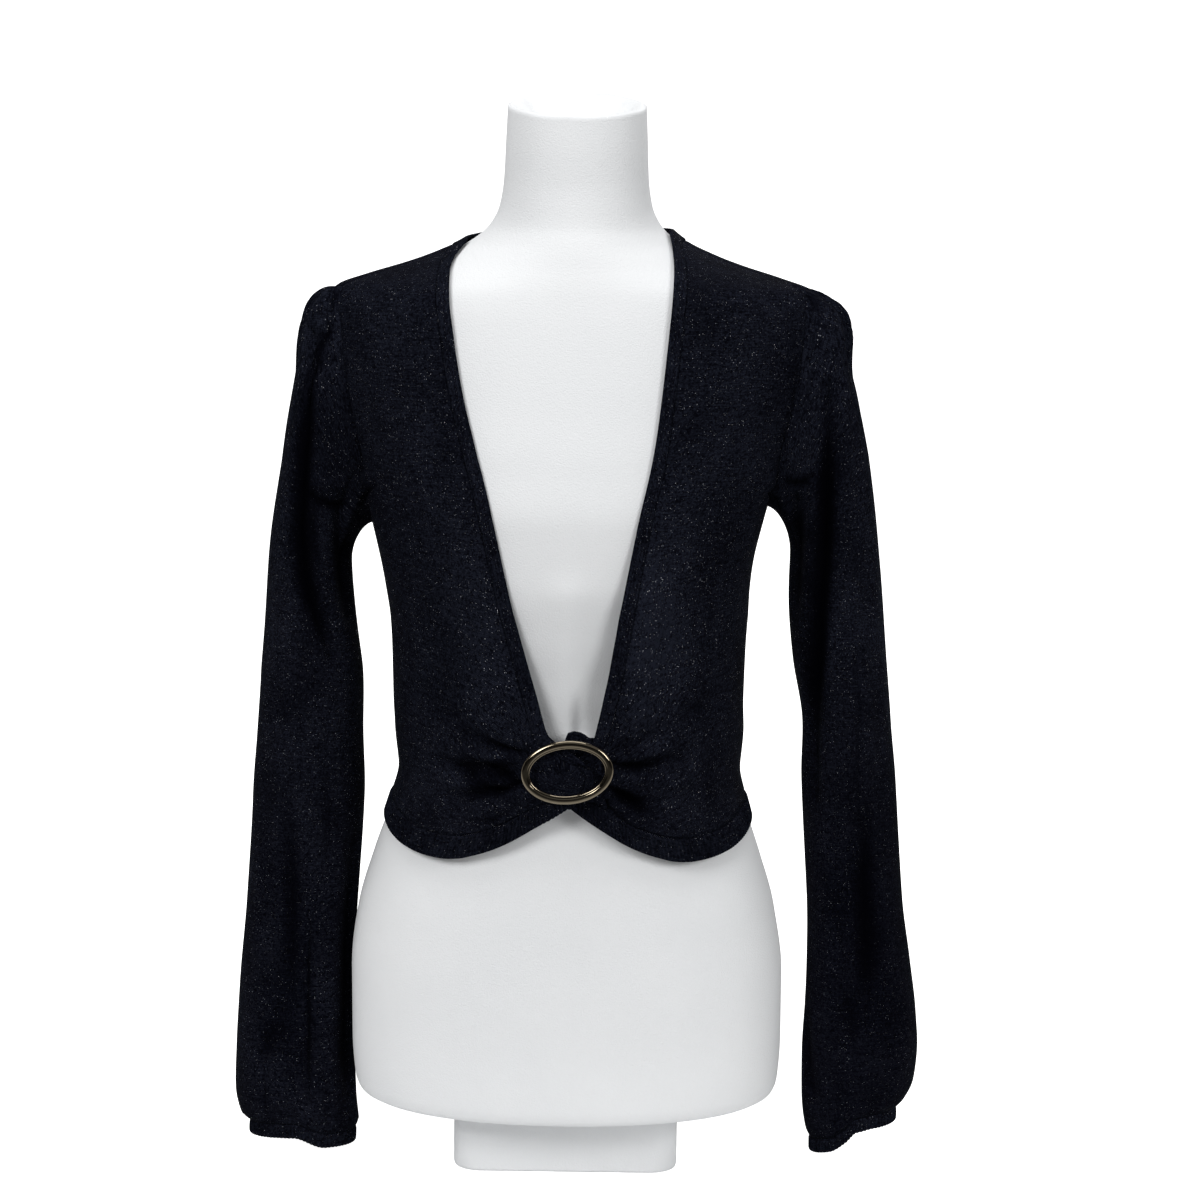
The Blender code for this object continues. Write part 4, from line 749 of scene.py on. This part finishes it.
sleeveLook = {
    "columns": 176, "headRows": 76, "tubeRows": 150,
    "cuffTaper": 0.985, "cuffWave": 0.0015, "cuffRound": 0.22,
    "leaving": (0.93, 0.0, -0.37),              # the way that the head sets off from the shoulder
    "meeting": (22, 26, 90),                    # rows above and below where head and tube meet, passes that even them
    "foldShadeScale": 0.6,                            # how much of a tube's fold adds painted shade to the yarn
    "allowance": 0.0040, "allowanceDepth": (0.0018, 0.0022),
    "sections": {   # height, out, forward, half width, half depth, lean in thousandths of each level section
        right: ((20.5, 204.3, 12, 39.7, 30, -20), (27, 206.5, 12, 44.5, 33, -20), (46, 209.4, 12, 45.4, 35, 0),
                (80, 210, 12, 44, 35, 0), (130, 208.5, 11, 42.5, 35, 0), (200, 203.5, 9, 41.2, 35, 0),
                (280, 198.3, 6, 41.2, 34.5, 0), (330, 196.8, 4, 38.8, 36, 0), (375, 195.2, 2, 37.2, 38, 0),
                (418, 196, 0, 32.5, 40, 0), (460, 196.5, -2, 29.8, 41, 0)),
        left: ((27.5, 221.8, 8, 31.8, 29, 300), (34.5, 223.2, 8, 36.7, 32.5, 260), (56, 224.8, 8, 41.9, 34.5, 140),
               (86, 225.5, 8, 43.2, 35, 50), (115, 225.1, 8, 41.6, 35, 0), (157, 222.5, 8, 38.3, 35.5, 0),
               (205, 218.2, 7, 35.3, 36, 0), (298, 210.9, 5, 34.5, 37.5, 0), (345, 207.9, 3, 32.2, 38.5, 0),
               (390, 201.5, 1, 34, 39, 0), (435, 196.8, 0, 34.6, 40, 0), (470, 195.5, -2, 31.8, 41, 0))},
    "headLine": {   # out and height of the line down the middle of each head
        right: ((178.5, 663.5), (185, 660.5), (191.8, 652), (199, 631), (204.5, 600), (211, 564.3), (216, 530),
                (222, 495)),
        left: ((170, 665), (182, 657.3), (189, 648), (192, 637), (197.8, 614.6), (204.5, 595), (211, 570.3),
               (218.4, 535))},
    "cuffRise": {   # from the inner side (-1) to the outer side (1), how far the foot rises
        right: ((-1, -4.8), (-0.5, -4.8), (0.1, 3.5), (1, 3.5)),
        left: ((-1, -2.5), (-0.6, -2.5), (-0.3, 1.5), (0, 8), (1, 5))},
    "underarmFullness": 0.85,
    "folds": {      # degrees and height at both ends (0 outside, 90 in front), width in degrees, depth
        right: ((100, 420, 70, 330, 20, 3), (75, 260, 95, 60, 20, 3.2), (235, 500, 250, 300, 22, 4.5),
                (295, 360, 285, 60, 22, 4), (40, 340, 58, 140, 9, 1.2), (118, 300, 122, 80, 9, 1.2),
                (92, 520, 108, 460, 8, 1.6), (60, 110, 66, 30, 8, 1.4), (105, 100, 104, 30, 8, 1.4)),
        left: ((60, 330, 92, 120, 20, 3), (240, 520, 252, 320, 22, 4.5), (290, 380, 280, 80, 22, 4),
               (50, 420, 44, 240, 9, 1.2), (112, 300, 118, 90, 9, 1.2), (98, 540, 112, 470, 8, 1.6),
               (64, 110, 70, 40, 8, 1.4), (100, 110, 98, 40, 8, 1.4))},
    "lowShade": {right: 0.22, left: 0.50},      # how much painted shade darkens the yarn towards the cuffs
    "frontFolds": { # width, depth and the line in the front view of each fold that the photo shows
        right: ((2.2, 2.6, -174.5, 668, -175.8, 648), (5.5, 6.8, -190.9, 630.2, -193.8, 600.3, -193.9, 568.9, -196.2,
                543.1, -198.1, 510.6, -198.5, 484.7, -195.6, 449, -190.5, 431.2, -181.7, 410.3, -175, 391.6), (3, 3.4,
                -177, 649.2, -177, 634.7, -185, 618.6, -188, 602.6), (3.4, 4.2, -188.9, 513, -177.1, 505.8, -166.1,
                506.7), (6, -2.2, -184.5, 521.9, -167.6, 520.7), (5, 4.5, -170.5, 497, -169.8, 459.1, -164.7, 421.8),
                (3.2, -2.4, -192.6, 497.4, -189.7, 472.2, -182.4, 445.5, -171.3, 413.5), (2.2, 2.8, -193.2, 191.2,
                -195.2, 147.6, -195.2, 105.4, -194.3, 43.9), (6, 2, -210.1, 313.1, -208.2, 205.7, -206.2, 127.9),
                (4.5, 1.6, -216.6, 366.1, -219, 339.6), (5, 1.8, -182.5, 328.7, -181.1, 244.7), (7, 2.6, -221.4, 112,
                -230.7, 75.7), (5, 4, -162.4, 248.8, -167.7, 159.7, -169.2, 81.4, -165.4, 41.9), (4, -1.6, -201.5,
                182.6, -202.6, 65.1), (1.6, 1.2, -230.7, 60.7, -229.4, 26.7), (1.6, 1.2, -213.3, 55.5, -214.1, 28.5),
                (1.6, 1, -185.2, 53.5, -183.7, 21)),
        left: ((2.4, 2.4, 158, 672, 178, 656), (2.4, 2.6, 159, 670, 171, 642), (2.2, 2.4, 159.5, 669, 165, 634), (5.5,
               6.8, 184.2, 597.6, 185, 566.1, 184.9, 541.1, 184.8, 516, 184.2, 473.8, 182.4, 439.4, 181.8, 404.2,
               180.5, 368.8, 179.9, 333.9, 181.8, 288.2), (2.8, 3, 155.1, 653.9, 159.3, 627.1), (2.4, 2.2, 161.4,
               662.6, 167.6, 648.2), (2, 1.8, 170.9, 659.9, 179.2, 647), (2.6, -2.2, 175.2, 534.3, 175, 498.9, 174.5,
               461.7), (4.5, 5, 164.3, 513.5, 164.7, 469, 164.2, 427.9), (3.4, 4, 156, 525.2, 166.2, 526.8, 172.7,
               532.1), (2.6, 1.6, 210.8, 402.3, 213.3, 338.2, 215.8, 274.2), (6.5, 3.2, 220.3, 274.2, 222.4, 226.6,
               226.2, 173.2, 228.6, 117), (4.5, 2, 213.4, 145.7, 216.3, 94.8), (3.5, 3, 182.6, 110, 186.7, 66.8,
               191.8, 47.1), (6, -1.8, 197.6, 227, 201, 102.5), (3, -1.6, 195.7, 602.1, 199.9, 528.8), (5, 1.6, 213.3,
               469.7, 216, 424.9), (1.6, 1.2, 209.5, 67.1, 208.7, 39.4), (1.6, 1.2, 232.1, 71.4, 232.9, 46.1), (1.6,
               1, 247.8, 79.5, 246.3, 52.6))},
    "gathers": {    # degrees, width in degrees and depth of each small pleat under the shoulder
        right: ((-34, 6, 1.2), (-17, 6, 1.6), (2, 6.5, 1.8), (19, 6.5, 2.4), (36, 7, 3), (52, 7, 2.6)),
        left: ((-32, 5, 1), (-18, 5, 1.4), (-4, 5, 1.6), (9, 5, 1.8), (22, 5, 2), (35, 5.5, 2.2), (49, 6, 1.8))},
    "cut": {right: (0.275, 0.650, 0.136), left: (0.268, 0.655, 0.131)},
}


def turnedFrom(angle, middle):
    # the angle off the middle one, from -pi to pi
    return np.arctan2(np.sin(angle - middle), np.cos(angle - middle))


def sleeveFoldDepth(side, angle, height):
    # sum of depth exp(-(angle off the fold / width)^2), faded at both ends of the fold
    depth = np.zeros_like(height)
    for topTurn, top, footTurn, foot, width, deep in sleeveLook["folds"][side]:
        along = (top * mm - height) / (top * mm - foot * mm)
        middle = np.radians(topTurn + (footTurn - topTurn) * np.clip(along, 0, 1))
        across = bell(turnedFrom(angle, middle), np.radians(width))
        depth += deep * mm * across * ramp(along, -0.15, 0.25) * (1 - ramp(along, 0.75, 1.15))
    return depth


def gatherDepth(side, angle):
    # troughs with half as high a swell beside them
    depth = np.zeros_like(angle)
    for degrees, width, deep in sleeveLook["gathers"][side]:
        across = np.degrees(turnedFrom(angle, np.radians(degrees)))
        depth += deep * mm * (bell(across, width) - 0.5 * bell(across, 1.9 * width))
    return depth


def sleeveSections(side, heights, angle):
    # x = out + w cos t, y = forward - d sin t, leaning and waving near the cuff
    out, forward, wide, deep, lean = (curve(heights)[:, None] for curve in tableCurves(sleeveLook["sections"][side]))
    turned = np.cos(angle)[None]
    lowest = sleeveLook["sections"][side][0][0] * mm
    nearCuff = 1 - ramp(heights, lowest, lowest + 0.045)[:, None]
    rise = tableCurves(sleeveLook["cuffRise"][side], (1, mm))[0](turned)
    z = heights[:, None] + lean * wide * turned + (rise - sleeveLook["cuffWave"] * np.cos(2 * angle)[None]) * nearCuff
    return joined(side * (out + wide * turned), forward - deep * np.sin(angle)[None], z)


def gridNormals(grid, closed):
    # cross product of the steps to the neighbours
    along = np.roll(grid, -1, axis=1) - np.roll(grid, 1, axis=1) if closed else np.gradient(grid, axis=1)
    return unit(np.cross(along, np.gradient(grid, axis=0)))


def makeSleeve(side):
    # Hermite strips from the armhole's rim to the top section, then level sections to the cuff, folded and gathered
    look, half = sleeveLook, sleeveLook["columns"] // 2
    front, rear = armholeRun(side, False, half + 1), armholeRun(side, True, half + 1)
    rim, rimNormals = (np.concatenate([surface(front, side)[::-1], surface(rear, behind)[1:-1]])
                       for surface in (draped, drapedNormals))
    angle = np.linspace(0, 2 * np.pi, 2 * half, endpoint=False)
    away = unit(np.cross(np.roll(rim, -1, axis=0) - np.roll(rim, 1, axis=0), rimNormals)) * -side
    onTop = ((1 + np.cos(angle)) / 2)[:, None]
    tip = np.pi / 2 * (1 - onTop ** 3)
    leaving = unit(onTop ** 3 * np.array(look["leaving"]) * (side, 1, 1) + (1 - onTop ** 3) * rimNormals)
    facing = np.cos(tip) * rimNormals - np.sin(tip) * away
    thick = cloth["thickness"]
    begin = rim + seamGap * away + np.sin(tip) * ((thick + seamGap) * rimNormals + thick * away)
    # the head, drawn onto its line and flattened across the top
    topHeight = look["sections"][side][-1][0] * mm
    target = sleeveSections(side, np.array([topHeight]), angle)[0]
    span = np.linalg.norm(target - begin, axis=1, keepdims=True)
    fullness = look["underarmFullness"] + (cuts[side].fullness - look["underarmFullness"]) * onTop ** 3
    u = np.linspace(0, 1, look["headRows"] + 1)[:, None, None] ** 1.2
    head = hermite(u, begin, span * fullness * leaving, target, span * -0.9 * np.array([0, 0, 1.0]))
    wanted = np.array([begin[0, [0, 2]] * (side, 1), *(np.array(look["headLine"][side]) * mm),
                       target[0, [0, 2]] * (side, 1)])
    run = runLength(wanted)
    lineX, lineZ = (smoothCurve(run, column)(u[:, 0, 0] * run[-1]) for column in wanted.T)
    head = head + joined(lineX * side - head[:, 0, 0], 0.0, lineZ - head[:, 0, 2])[:, None] * onTop ** 1.3
    alike = ramp(u[..., 0], 0.0, 0.4) * onTop.T ** 6
    head[..., 0] += (head[:, :1, 0] - head[..., 0]) * alike
    heights = np.linspace(topHeight, look["sections"][side][0][0] * mm, look["tubeRows"])[1:]
    grid = np.concatenate([head, sleeveSections(side, heights, angle)])
    above, below, passes = look["meeting"]
    near = slice(look["headRows"] - above, look["headRows"] + below)
    for _ in range(passes):     # running mean down the sleeve
        grid[near] = (grid[near.start - 1:near.stop - 1] + 2 * grid[near] + grid[near.start + 1:near.stop + 1]) / 4
    order = slice(None, None, -side)
    grid, turned, facing, topness = grid[::-1, order], angle[order], facing[order], onTop[order]
    normals = gridNormals(grid, True)
    for _ in range(3):      # running mean round the sleeve
        normals = (np.roll(normals, 1, axis=1) + 2 * normals + np.roll(normals, -1, axis=1)) / 4
    # folds sink the surface; painted shade darkens the yarn in them and towards the cuffs
    row = np.arange(len(grid))[::-1, None] / look["headRows"]
    depth = sleeveFoldDepth(side, turned[None], grid[..., 2]) * ramp(row, 0.0, 0.35)
    gathers = gatherDepth(side, turned)[None] * ramp(row, 0.0, 0.10) * (1 - ramp(row, 0.18, 0.80))
    front = ramp(-normals[..., 1], 0.05, 0.45) * ramp(row, 0.0, 0.05)
    creases, sunk = (creaseDepth(grid, look["frontFolds"][side], spread) * front for spread in (0.0, 1.5))
    shade = 1 - (1 - foldShade(sunk + look["foldShadeScale"] * depth + np.maximum(gathers, 0.0))) * (
        1 - look["lowShade"][side] * ramp(-grid[..., 2], -0.42, -0.20))
    grid = grid - normals * (gathers + depth + creases)[..., None]
    normals = gridNormals(grid, True)
    own = 0.2 * topness ** 3
    normals[-1] = unit(facing * (1 - own) + normals[-1] * own)
    fade = ramp(row, 0.0, 0.08)[..., None]
    normals = unit(normals * fade + normals[-1][None] * (1 - fade))
    # the seam allowance turns in under the body's edge, so that nothing shows through the seam
    sinking = look["allowanceDepth"][0] + look["allowanceDepth"][1] * np.sin(tip)
    allowance = (rim + (seamGap + np.sin(tip) * thick - np.cos(tip) * look["allowance"]) * away
                 - sinking * rimNormals)
    grid, normals = np.concatenate([grid, allowance[order][None]]), np.concatenate([normals, normals[-1:]])
    sleeve = clothWall(grid, normals, thick, runUv(grid, True), "sleeve_" + sideNames[side], True,
                       shade=np.concatenate([shade, shade[-1:]]))
    count = round(look["cuffRound"] / cloth["ribPitch"]) * ribColumns
    seamLine = resampled(grid[0] + unit(grid[0] - grid[1]) * seamGap, count)
    seamNormals = unit(resampled(normals[0], count))
    middle = seamLine.mean(axis=0)
    low = middle + (seamLine - middle) * (look["cuffTaper"], look["cuffTaper"], 1.0) - (0, 0, cloth["cuffDepth"])
    cuff = ribbedStrip(seamLine, seamNormals, low, unit(seamNormals * (1, 1, 0)), "cuff_" + sideNames[side], True)
    return sleeve, cuff


ringLook = {
    "centre": (-0.0010, 0.3252), "halfWidth": 0.0332, "halfHeight": 0.0233, "band": 0.0064, "thickness": 0.0042,
    "roundness": 0.95, "tilt": 5.5, "back": -0.1127, "segments": 220, "sides": 40,
    "step": (0.16, -0.0014, 0.0005),            # share of the thickness, place across the band, width
}


def makeRing():
    # an oval path carries a rounded band: |cos|, |sin| to the power 0.95, with a step sunk on its inner side
    look = ringLook
    around = np.linspace(0, 2 * np.pi, look["segments"], endpoint=False)[:, None]
    section = np.linspace(0, 2 * np.pi, look["sides"], endpoint=False)[None]
    across, lift = (np.sign(wave) * np.abs(wave) ** look["roundness"] for wave in (np.cos(section), np.sin(section)))
    reach = look["band"] / 2 * across
    wide, high = look["halfWidth"] - look["band"] / 2, look["halfHeight"] - look["band"] / 2
    outX, outZ = high * np.cos(around), wide * np.sin(around)
    length = np.hypot(outX, outZ)
    x = wide * np.cos(around) + reach * outX / length
    z = high * np.sin(around) + reach * outZ / length
    sunk, place, width = look["step"]
    step = sunk * bell(reach - place, width) * (lift > 0)
    y = look["back"] - look["thickness"] / 2 * (1 + lift * (1 - step))
    turn, rise = np.cos(np.radians(look["tilt"])), np.sin(np.radians(look["tilt"]))
    points = joined(look["centre"][0] + x * turn - z * rise, y, look["centre"][1] + x * rise + z * turn)
    number = gridNumbers(look["segments"], look["sides"])
    quads = gridQuads(np.concatenate([number, number[:1]]))[:, ::-1]
    return putPiece("ring_polished", points, quads, joined(around * wide, section * 0.002), quads, ringMetal, "ring")


tabLook = {
    "foot": 0.3200, "behindCloth": 0.0041, "crumple": 0.0005, "crumplePitch": 0.0047, "cut": (0.033, 0.032),
    "top": ((-6.6, 341.2), (-3, 342.7), (-0.9, 347.9), (1.2, 351.6), (6.2, 352.7), (11.7, 351.3), (16.4, 348.1),
            (20, 347.8), (22.8, 350.4), (24.9, 352.6)),
}


def makeTab():
    # the worn surface moved in, with cosine crumples that grow upwards and a wavy top
    look = tabLook
    across = np.linspace(look["top"][0][0] * mm, look["top"][-1][0] * mm, 81)
    up = np.linspace(0, 1, 41)[:, None]
    heights = look["foot"] + (tableCurves(look["top"])[0](across)[None] - look["foot"]) * up
    places = joined(np.arcsin(across / halfWidth(heights)), heights)
    wave = np.cos((across - across[0]) * 2 * np.pi / look["crumplePitch"])[None]
    crumple = look["crumple"] * wave * (0.3 + 0.7 * up)
    inner = torso(places) + torsoNormal(places) * (crumple - look["behindCloth"])[..., None]
    return clothWall(inner, gridNormals(inner, False), cloth["thickness"], runUv(inner), "ring_loop")


formLook = {
    "columns": 180, "frontShare": 0.45, "base": 0.0525,
    "rows": ((0.0525, 14), (0.070, 56), (0.335, 30), (0.400, 52), (0.640, 70), (0.797, 0)),     # from each height
    "dent": ((4.6, 5.2, 4.4, 388, 6.6, 349),), "ridge": ((14, -2.8, -3, 450, -3, 350),),
    "dishScale": (0.985, 0.96, 0.93, 0.88, 0.84, 0.78, 0.72, 0.62, 0.52, 0.42, 0.30, 0.15, 0.02),
    "dishFall": ((0.0, 14.0), (0.45, 12.5), (0.72, 7.5), (0.84, 1.5), (0.93, -1.3), (0.97, -1.0), (1.0, 0.0)),
    "footHalfWidth": 0.085, "footFront": -0.045, "footBack": 0.090, "footCorner": 0.020,
}


def makeForm():
    # level sections lofted from a flat underside to a dished neck whose cover puckers a little
    look = formLook
    rows = look["rows"]
    heights = np.concatenate([[look["base"]]] + [np.linspace(low, high, count)[1:]
                                                 for (low, count), (high, _) in zip(rows[:-1], rows[1:])])
    angle = np.linspace(0, 2 * np.pi, look["columns"], endpoint=False)
    angle = angle - look["frontShare"] * np.sin(angle)      # columns lie closer in front
    rings = torso(joined(angle[None], heights[:, None]), worn=0.0)
    # the cover is drawn in just above the tab, beside a slight ridge
    dent = creaseDepth(rings, look["dent"]) * ramp(-rings[..., 2], -0.386, -0.348)
    rings[..., 1] += (dent + creaseDepth(rings, look["ridge"])) * (rings[..., 1] < 0)
    rim = rings[-1]
    scale = np.array(look["dishScale"])
    fall = np.interp(scale, *(np.array(look["dishFall"]) * (1, mm)).T)
    pucker = 0.0010 * bell(scale - 0.80, 0.14)[:, None] * (np.cos(7 * angle + 0.6) + 0.6 * np.cos(11 * angle + 2.0))
    dish = rim.mean(axis=0) + (rim - rim.mean(axis=0)) * scale[:, None, None]
    dish[..., 2] += pucker - fall[:, None]
    underside = np.array([0.0, 0.0, look["base"]])
    under = underside + (rings[0] - underside) * np.array([0.5, 0.9])[:, None, None]
    grid = np.concatenate([under, rings, dish])
    points = np.concatenate([grid.reshape(-1, 3), [underside, dish[-1].mean(axis=0)]])
    uv = np.concatenate([joined(angle * 0.13, grid[..., 2]).reshape(-1, 2), [[0, 0], [0, 0.8]]])
    quads = cappedQuads(*grid.shape[:2])
    return putPiece("dress_form_cover", points, quads, uv, quads, cover, "dress_form")


def makeFoot():
    # a rounded rectangle, its sides rounded over at the top and bottom
    look = formLook
    corner = look["footCorner"]
    centre = np.array([0.0, (look["footBack"] + look["footFront"]) / 2])
    half = np.array([look["footHalfWidth"], (look["footBack"] - look["footFront"]) / 2])
    quarter = np.repeat(np.arange(4) * np.pi / 2, 12)
    turn = quarter + np.tile(np.linspace(0, np.pi / 2, 12), 4)
    towards = np.sign(joined(np.cos(quarter + np.pi / 4), np.sin(quarter + np.pi / 4)))
    outline = centre + towards * (half - corner) + corner * joined(np.cos(turn), np.sin(turn))
    height = look["base"] - seamGap
    inset = np.array([0.0030, 0.0008, 0.0])[:, None, None]
    share = 1 - inset / np.linalg.norm(outline - centre, axis=1, keepdims=True)
    caps = np.broadcast_to(np.array([0.02, 0.412])[:, None, None], (2, len(outline), 1))
    share = np.concatenate([caps, share, share[::-1], caps[::-1]])
    levels = np.array([0, 0, 0, 0.0007, 0.003, height - 0.003, height - 0.0007, height, height, height])
    grid = np.concatenate([centre + (outline - centre) * share,
                           np.broadcast_to(levels[:, None, None], share.shape)], axis=-1)
    points = np.concatenate([grid.reshape(-1, 3), [[*centre, 0.0], [*centre, height]]])
    quads = cappedQuads(*grid.shape[:2])
    return putPiece("form_foot_cover", points, quads, points[:, :2], quads, cover, "form_foot")


makeForm()
makeFoot()
print("form made")
for side in (right, left):
    makeFront(side)
    makeFrontBand(side)
makeNeckBand()
makePanel(patch(*backEdges(), hold=3.0)[:, ::-1], behind, "back")
print("body knitted")
for side in (right, left):
    ends = frontEdges(side)[2][[0, -1], 0]
    makeHem(*ends, side, "hem_rib_front_" + sideNames[side])
ends = backEdges()[2][[0, -1], 0]
makeHem(*ends, behind, "hem_rib_back")
for side in (right, left):
    sleeve, cuff = makeSleeve(side)
makeTab()
makeRing()
print("sleeves, ribs and ring made")


def makeFloor():
    # surface of revolution: flat to 2.6 m, then a quarter turn up to a low pale wall
    quarter = np.linspace(0, np.pi / 2, 24)[1:]
    radius = np.concatenate([np.linspace(0.02, 2.6, 20), 2.6 + 2.2 * np.sin(quarter)])[:, None]
    height = np.concatenate([np.zeros(20), 2.2 * (1 - np.cos(quarter))])[:, None]
    angle = np.linspace(0, 2 * np.pi, 96, endpoint=False)
    number = gridNumbers(len(radius), len(angle))
    quads = np.concatenate([gridQuads(number)[:, ::-1], number[0, :-1][::-1].reshape(-1, 4)])
    # pale paper that is white in the picture, as in the photo's plain cut-out, and lights things no more than paper
    material, tree = newMaterial("palePaper")
    # the floor in front of the form is dark, which gives the ring its dark reflections
    split = addNode(tree, "SeparateXYZ", {0: addNode(tree, "TexCoord")["Object"]})
    pale = mapped(tree, split["Y"], -0.80, -0.25, 0.0, 1.0)
    finishShader(tree, {"Base Color": blended(tree, pale, linear("#3a3a3a"), linear("#f6f6f6")), "Roughness": 0.9,
                        "Emission Color": (1.0, 1.0, 1.0, 1.0),
                        "Emission Strength": addNode(tree, "LightPath")["Is Camera Ray"]})
    material.cycles.emission_sampling = "NONE"
    newObject("paleFloor", joined(radius * np.cos(angle), radius * np.sin(angle), height), quads, material)


lamps = (       # name, place, aimed at, size, power
    ("key", (-1.5, -2.3, 2.0), (0.0, 0.0, 0.45), 1.2, 48.0),
    ("fill", (1.9, -2.0, 1.5), (0.0, 0.0, 0.40), 1.1, 28.0),
    ("over", (0.0, -0.4, 3.0), (0.0, 0.0, 0.40), 1.6, 26.0),
    ("rear", (0.6, 2.4, 2.0), (0.0, 0.0, 0.45), 1.6, 25.0),
)
roomLight = 0.27


def makeLights():
    for name, place, aim, size, power in lamps:
        light = bpy.data.lights.new(name, "AREA")
        light.size, light.energy = size, power
        lamp = bpy.data.objects.new(name, light)
        away = Matrix.Translation(place).translation - Matrix.Translation(aim).translation
        lamp.matrix_world = Matrix.Translation(place) @ away.to_track_quat("Z", "Y").to_matrix().to_4x4()
        bpy.context.scene.collection.objects.link(lamp)
    world = bpy.data.worlds.new("softRoom")
    bpy.context.scene.world = world
    world.use_nodes = True
    background = world.node_tree.nodes["Background"].inputs
    background[0].default_value, background[1].default_value = (1.0, 1.0, 1.0, 1.0), roomLight
    bpy.context.scene.view_settings.view_transform = "Standard"     # the photo is a plain cut-out on white


# 2838 px focal length on a 1200 px frame, 9 degrees down from 2.10 m, turned 0.8 degrees about its own axis
viewLook = {"place": (0.0207, -2.10, 0.765), "sensor": 36.0, "lens": 85.14, "pitch": 81.0, "roll": 0.8}


def makeCamera():
    look = viewLook
    lens = bpy.data.cameras.new("viewOfPhoto")
    lens.sensor_width, lens.lens = look["sensor"], look["lens"]
    camera = bpy.data.objects.new("viewOfPhoto", lens)
    camera.matrix_world = (Matrix.Translation(look["place"]) @ Matrix.Rotation(np.radians(look["pitch"]), 4, "X")
                           @ Matrix.Rotation(np.radians(look["roll"]), 4, "Z"))
    bpy.context.scene.collection.objects.link(camera)
    bpy.context.scene.camera = camera


makeFloor()
makeLights()
makeCamera()
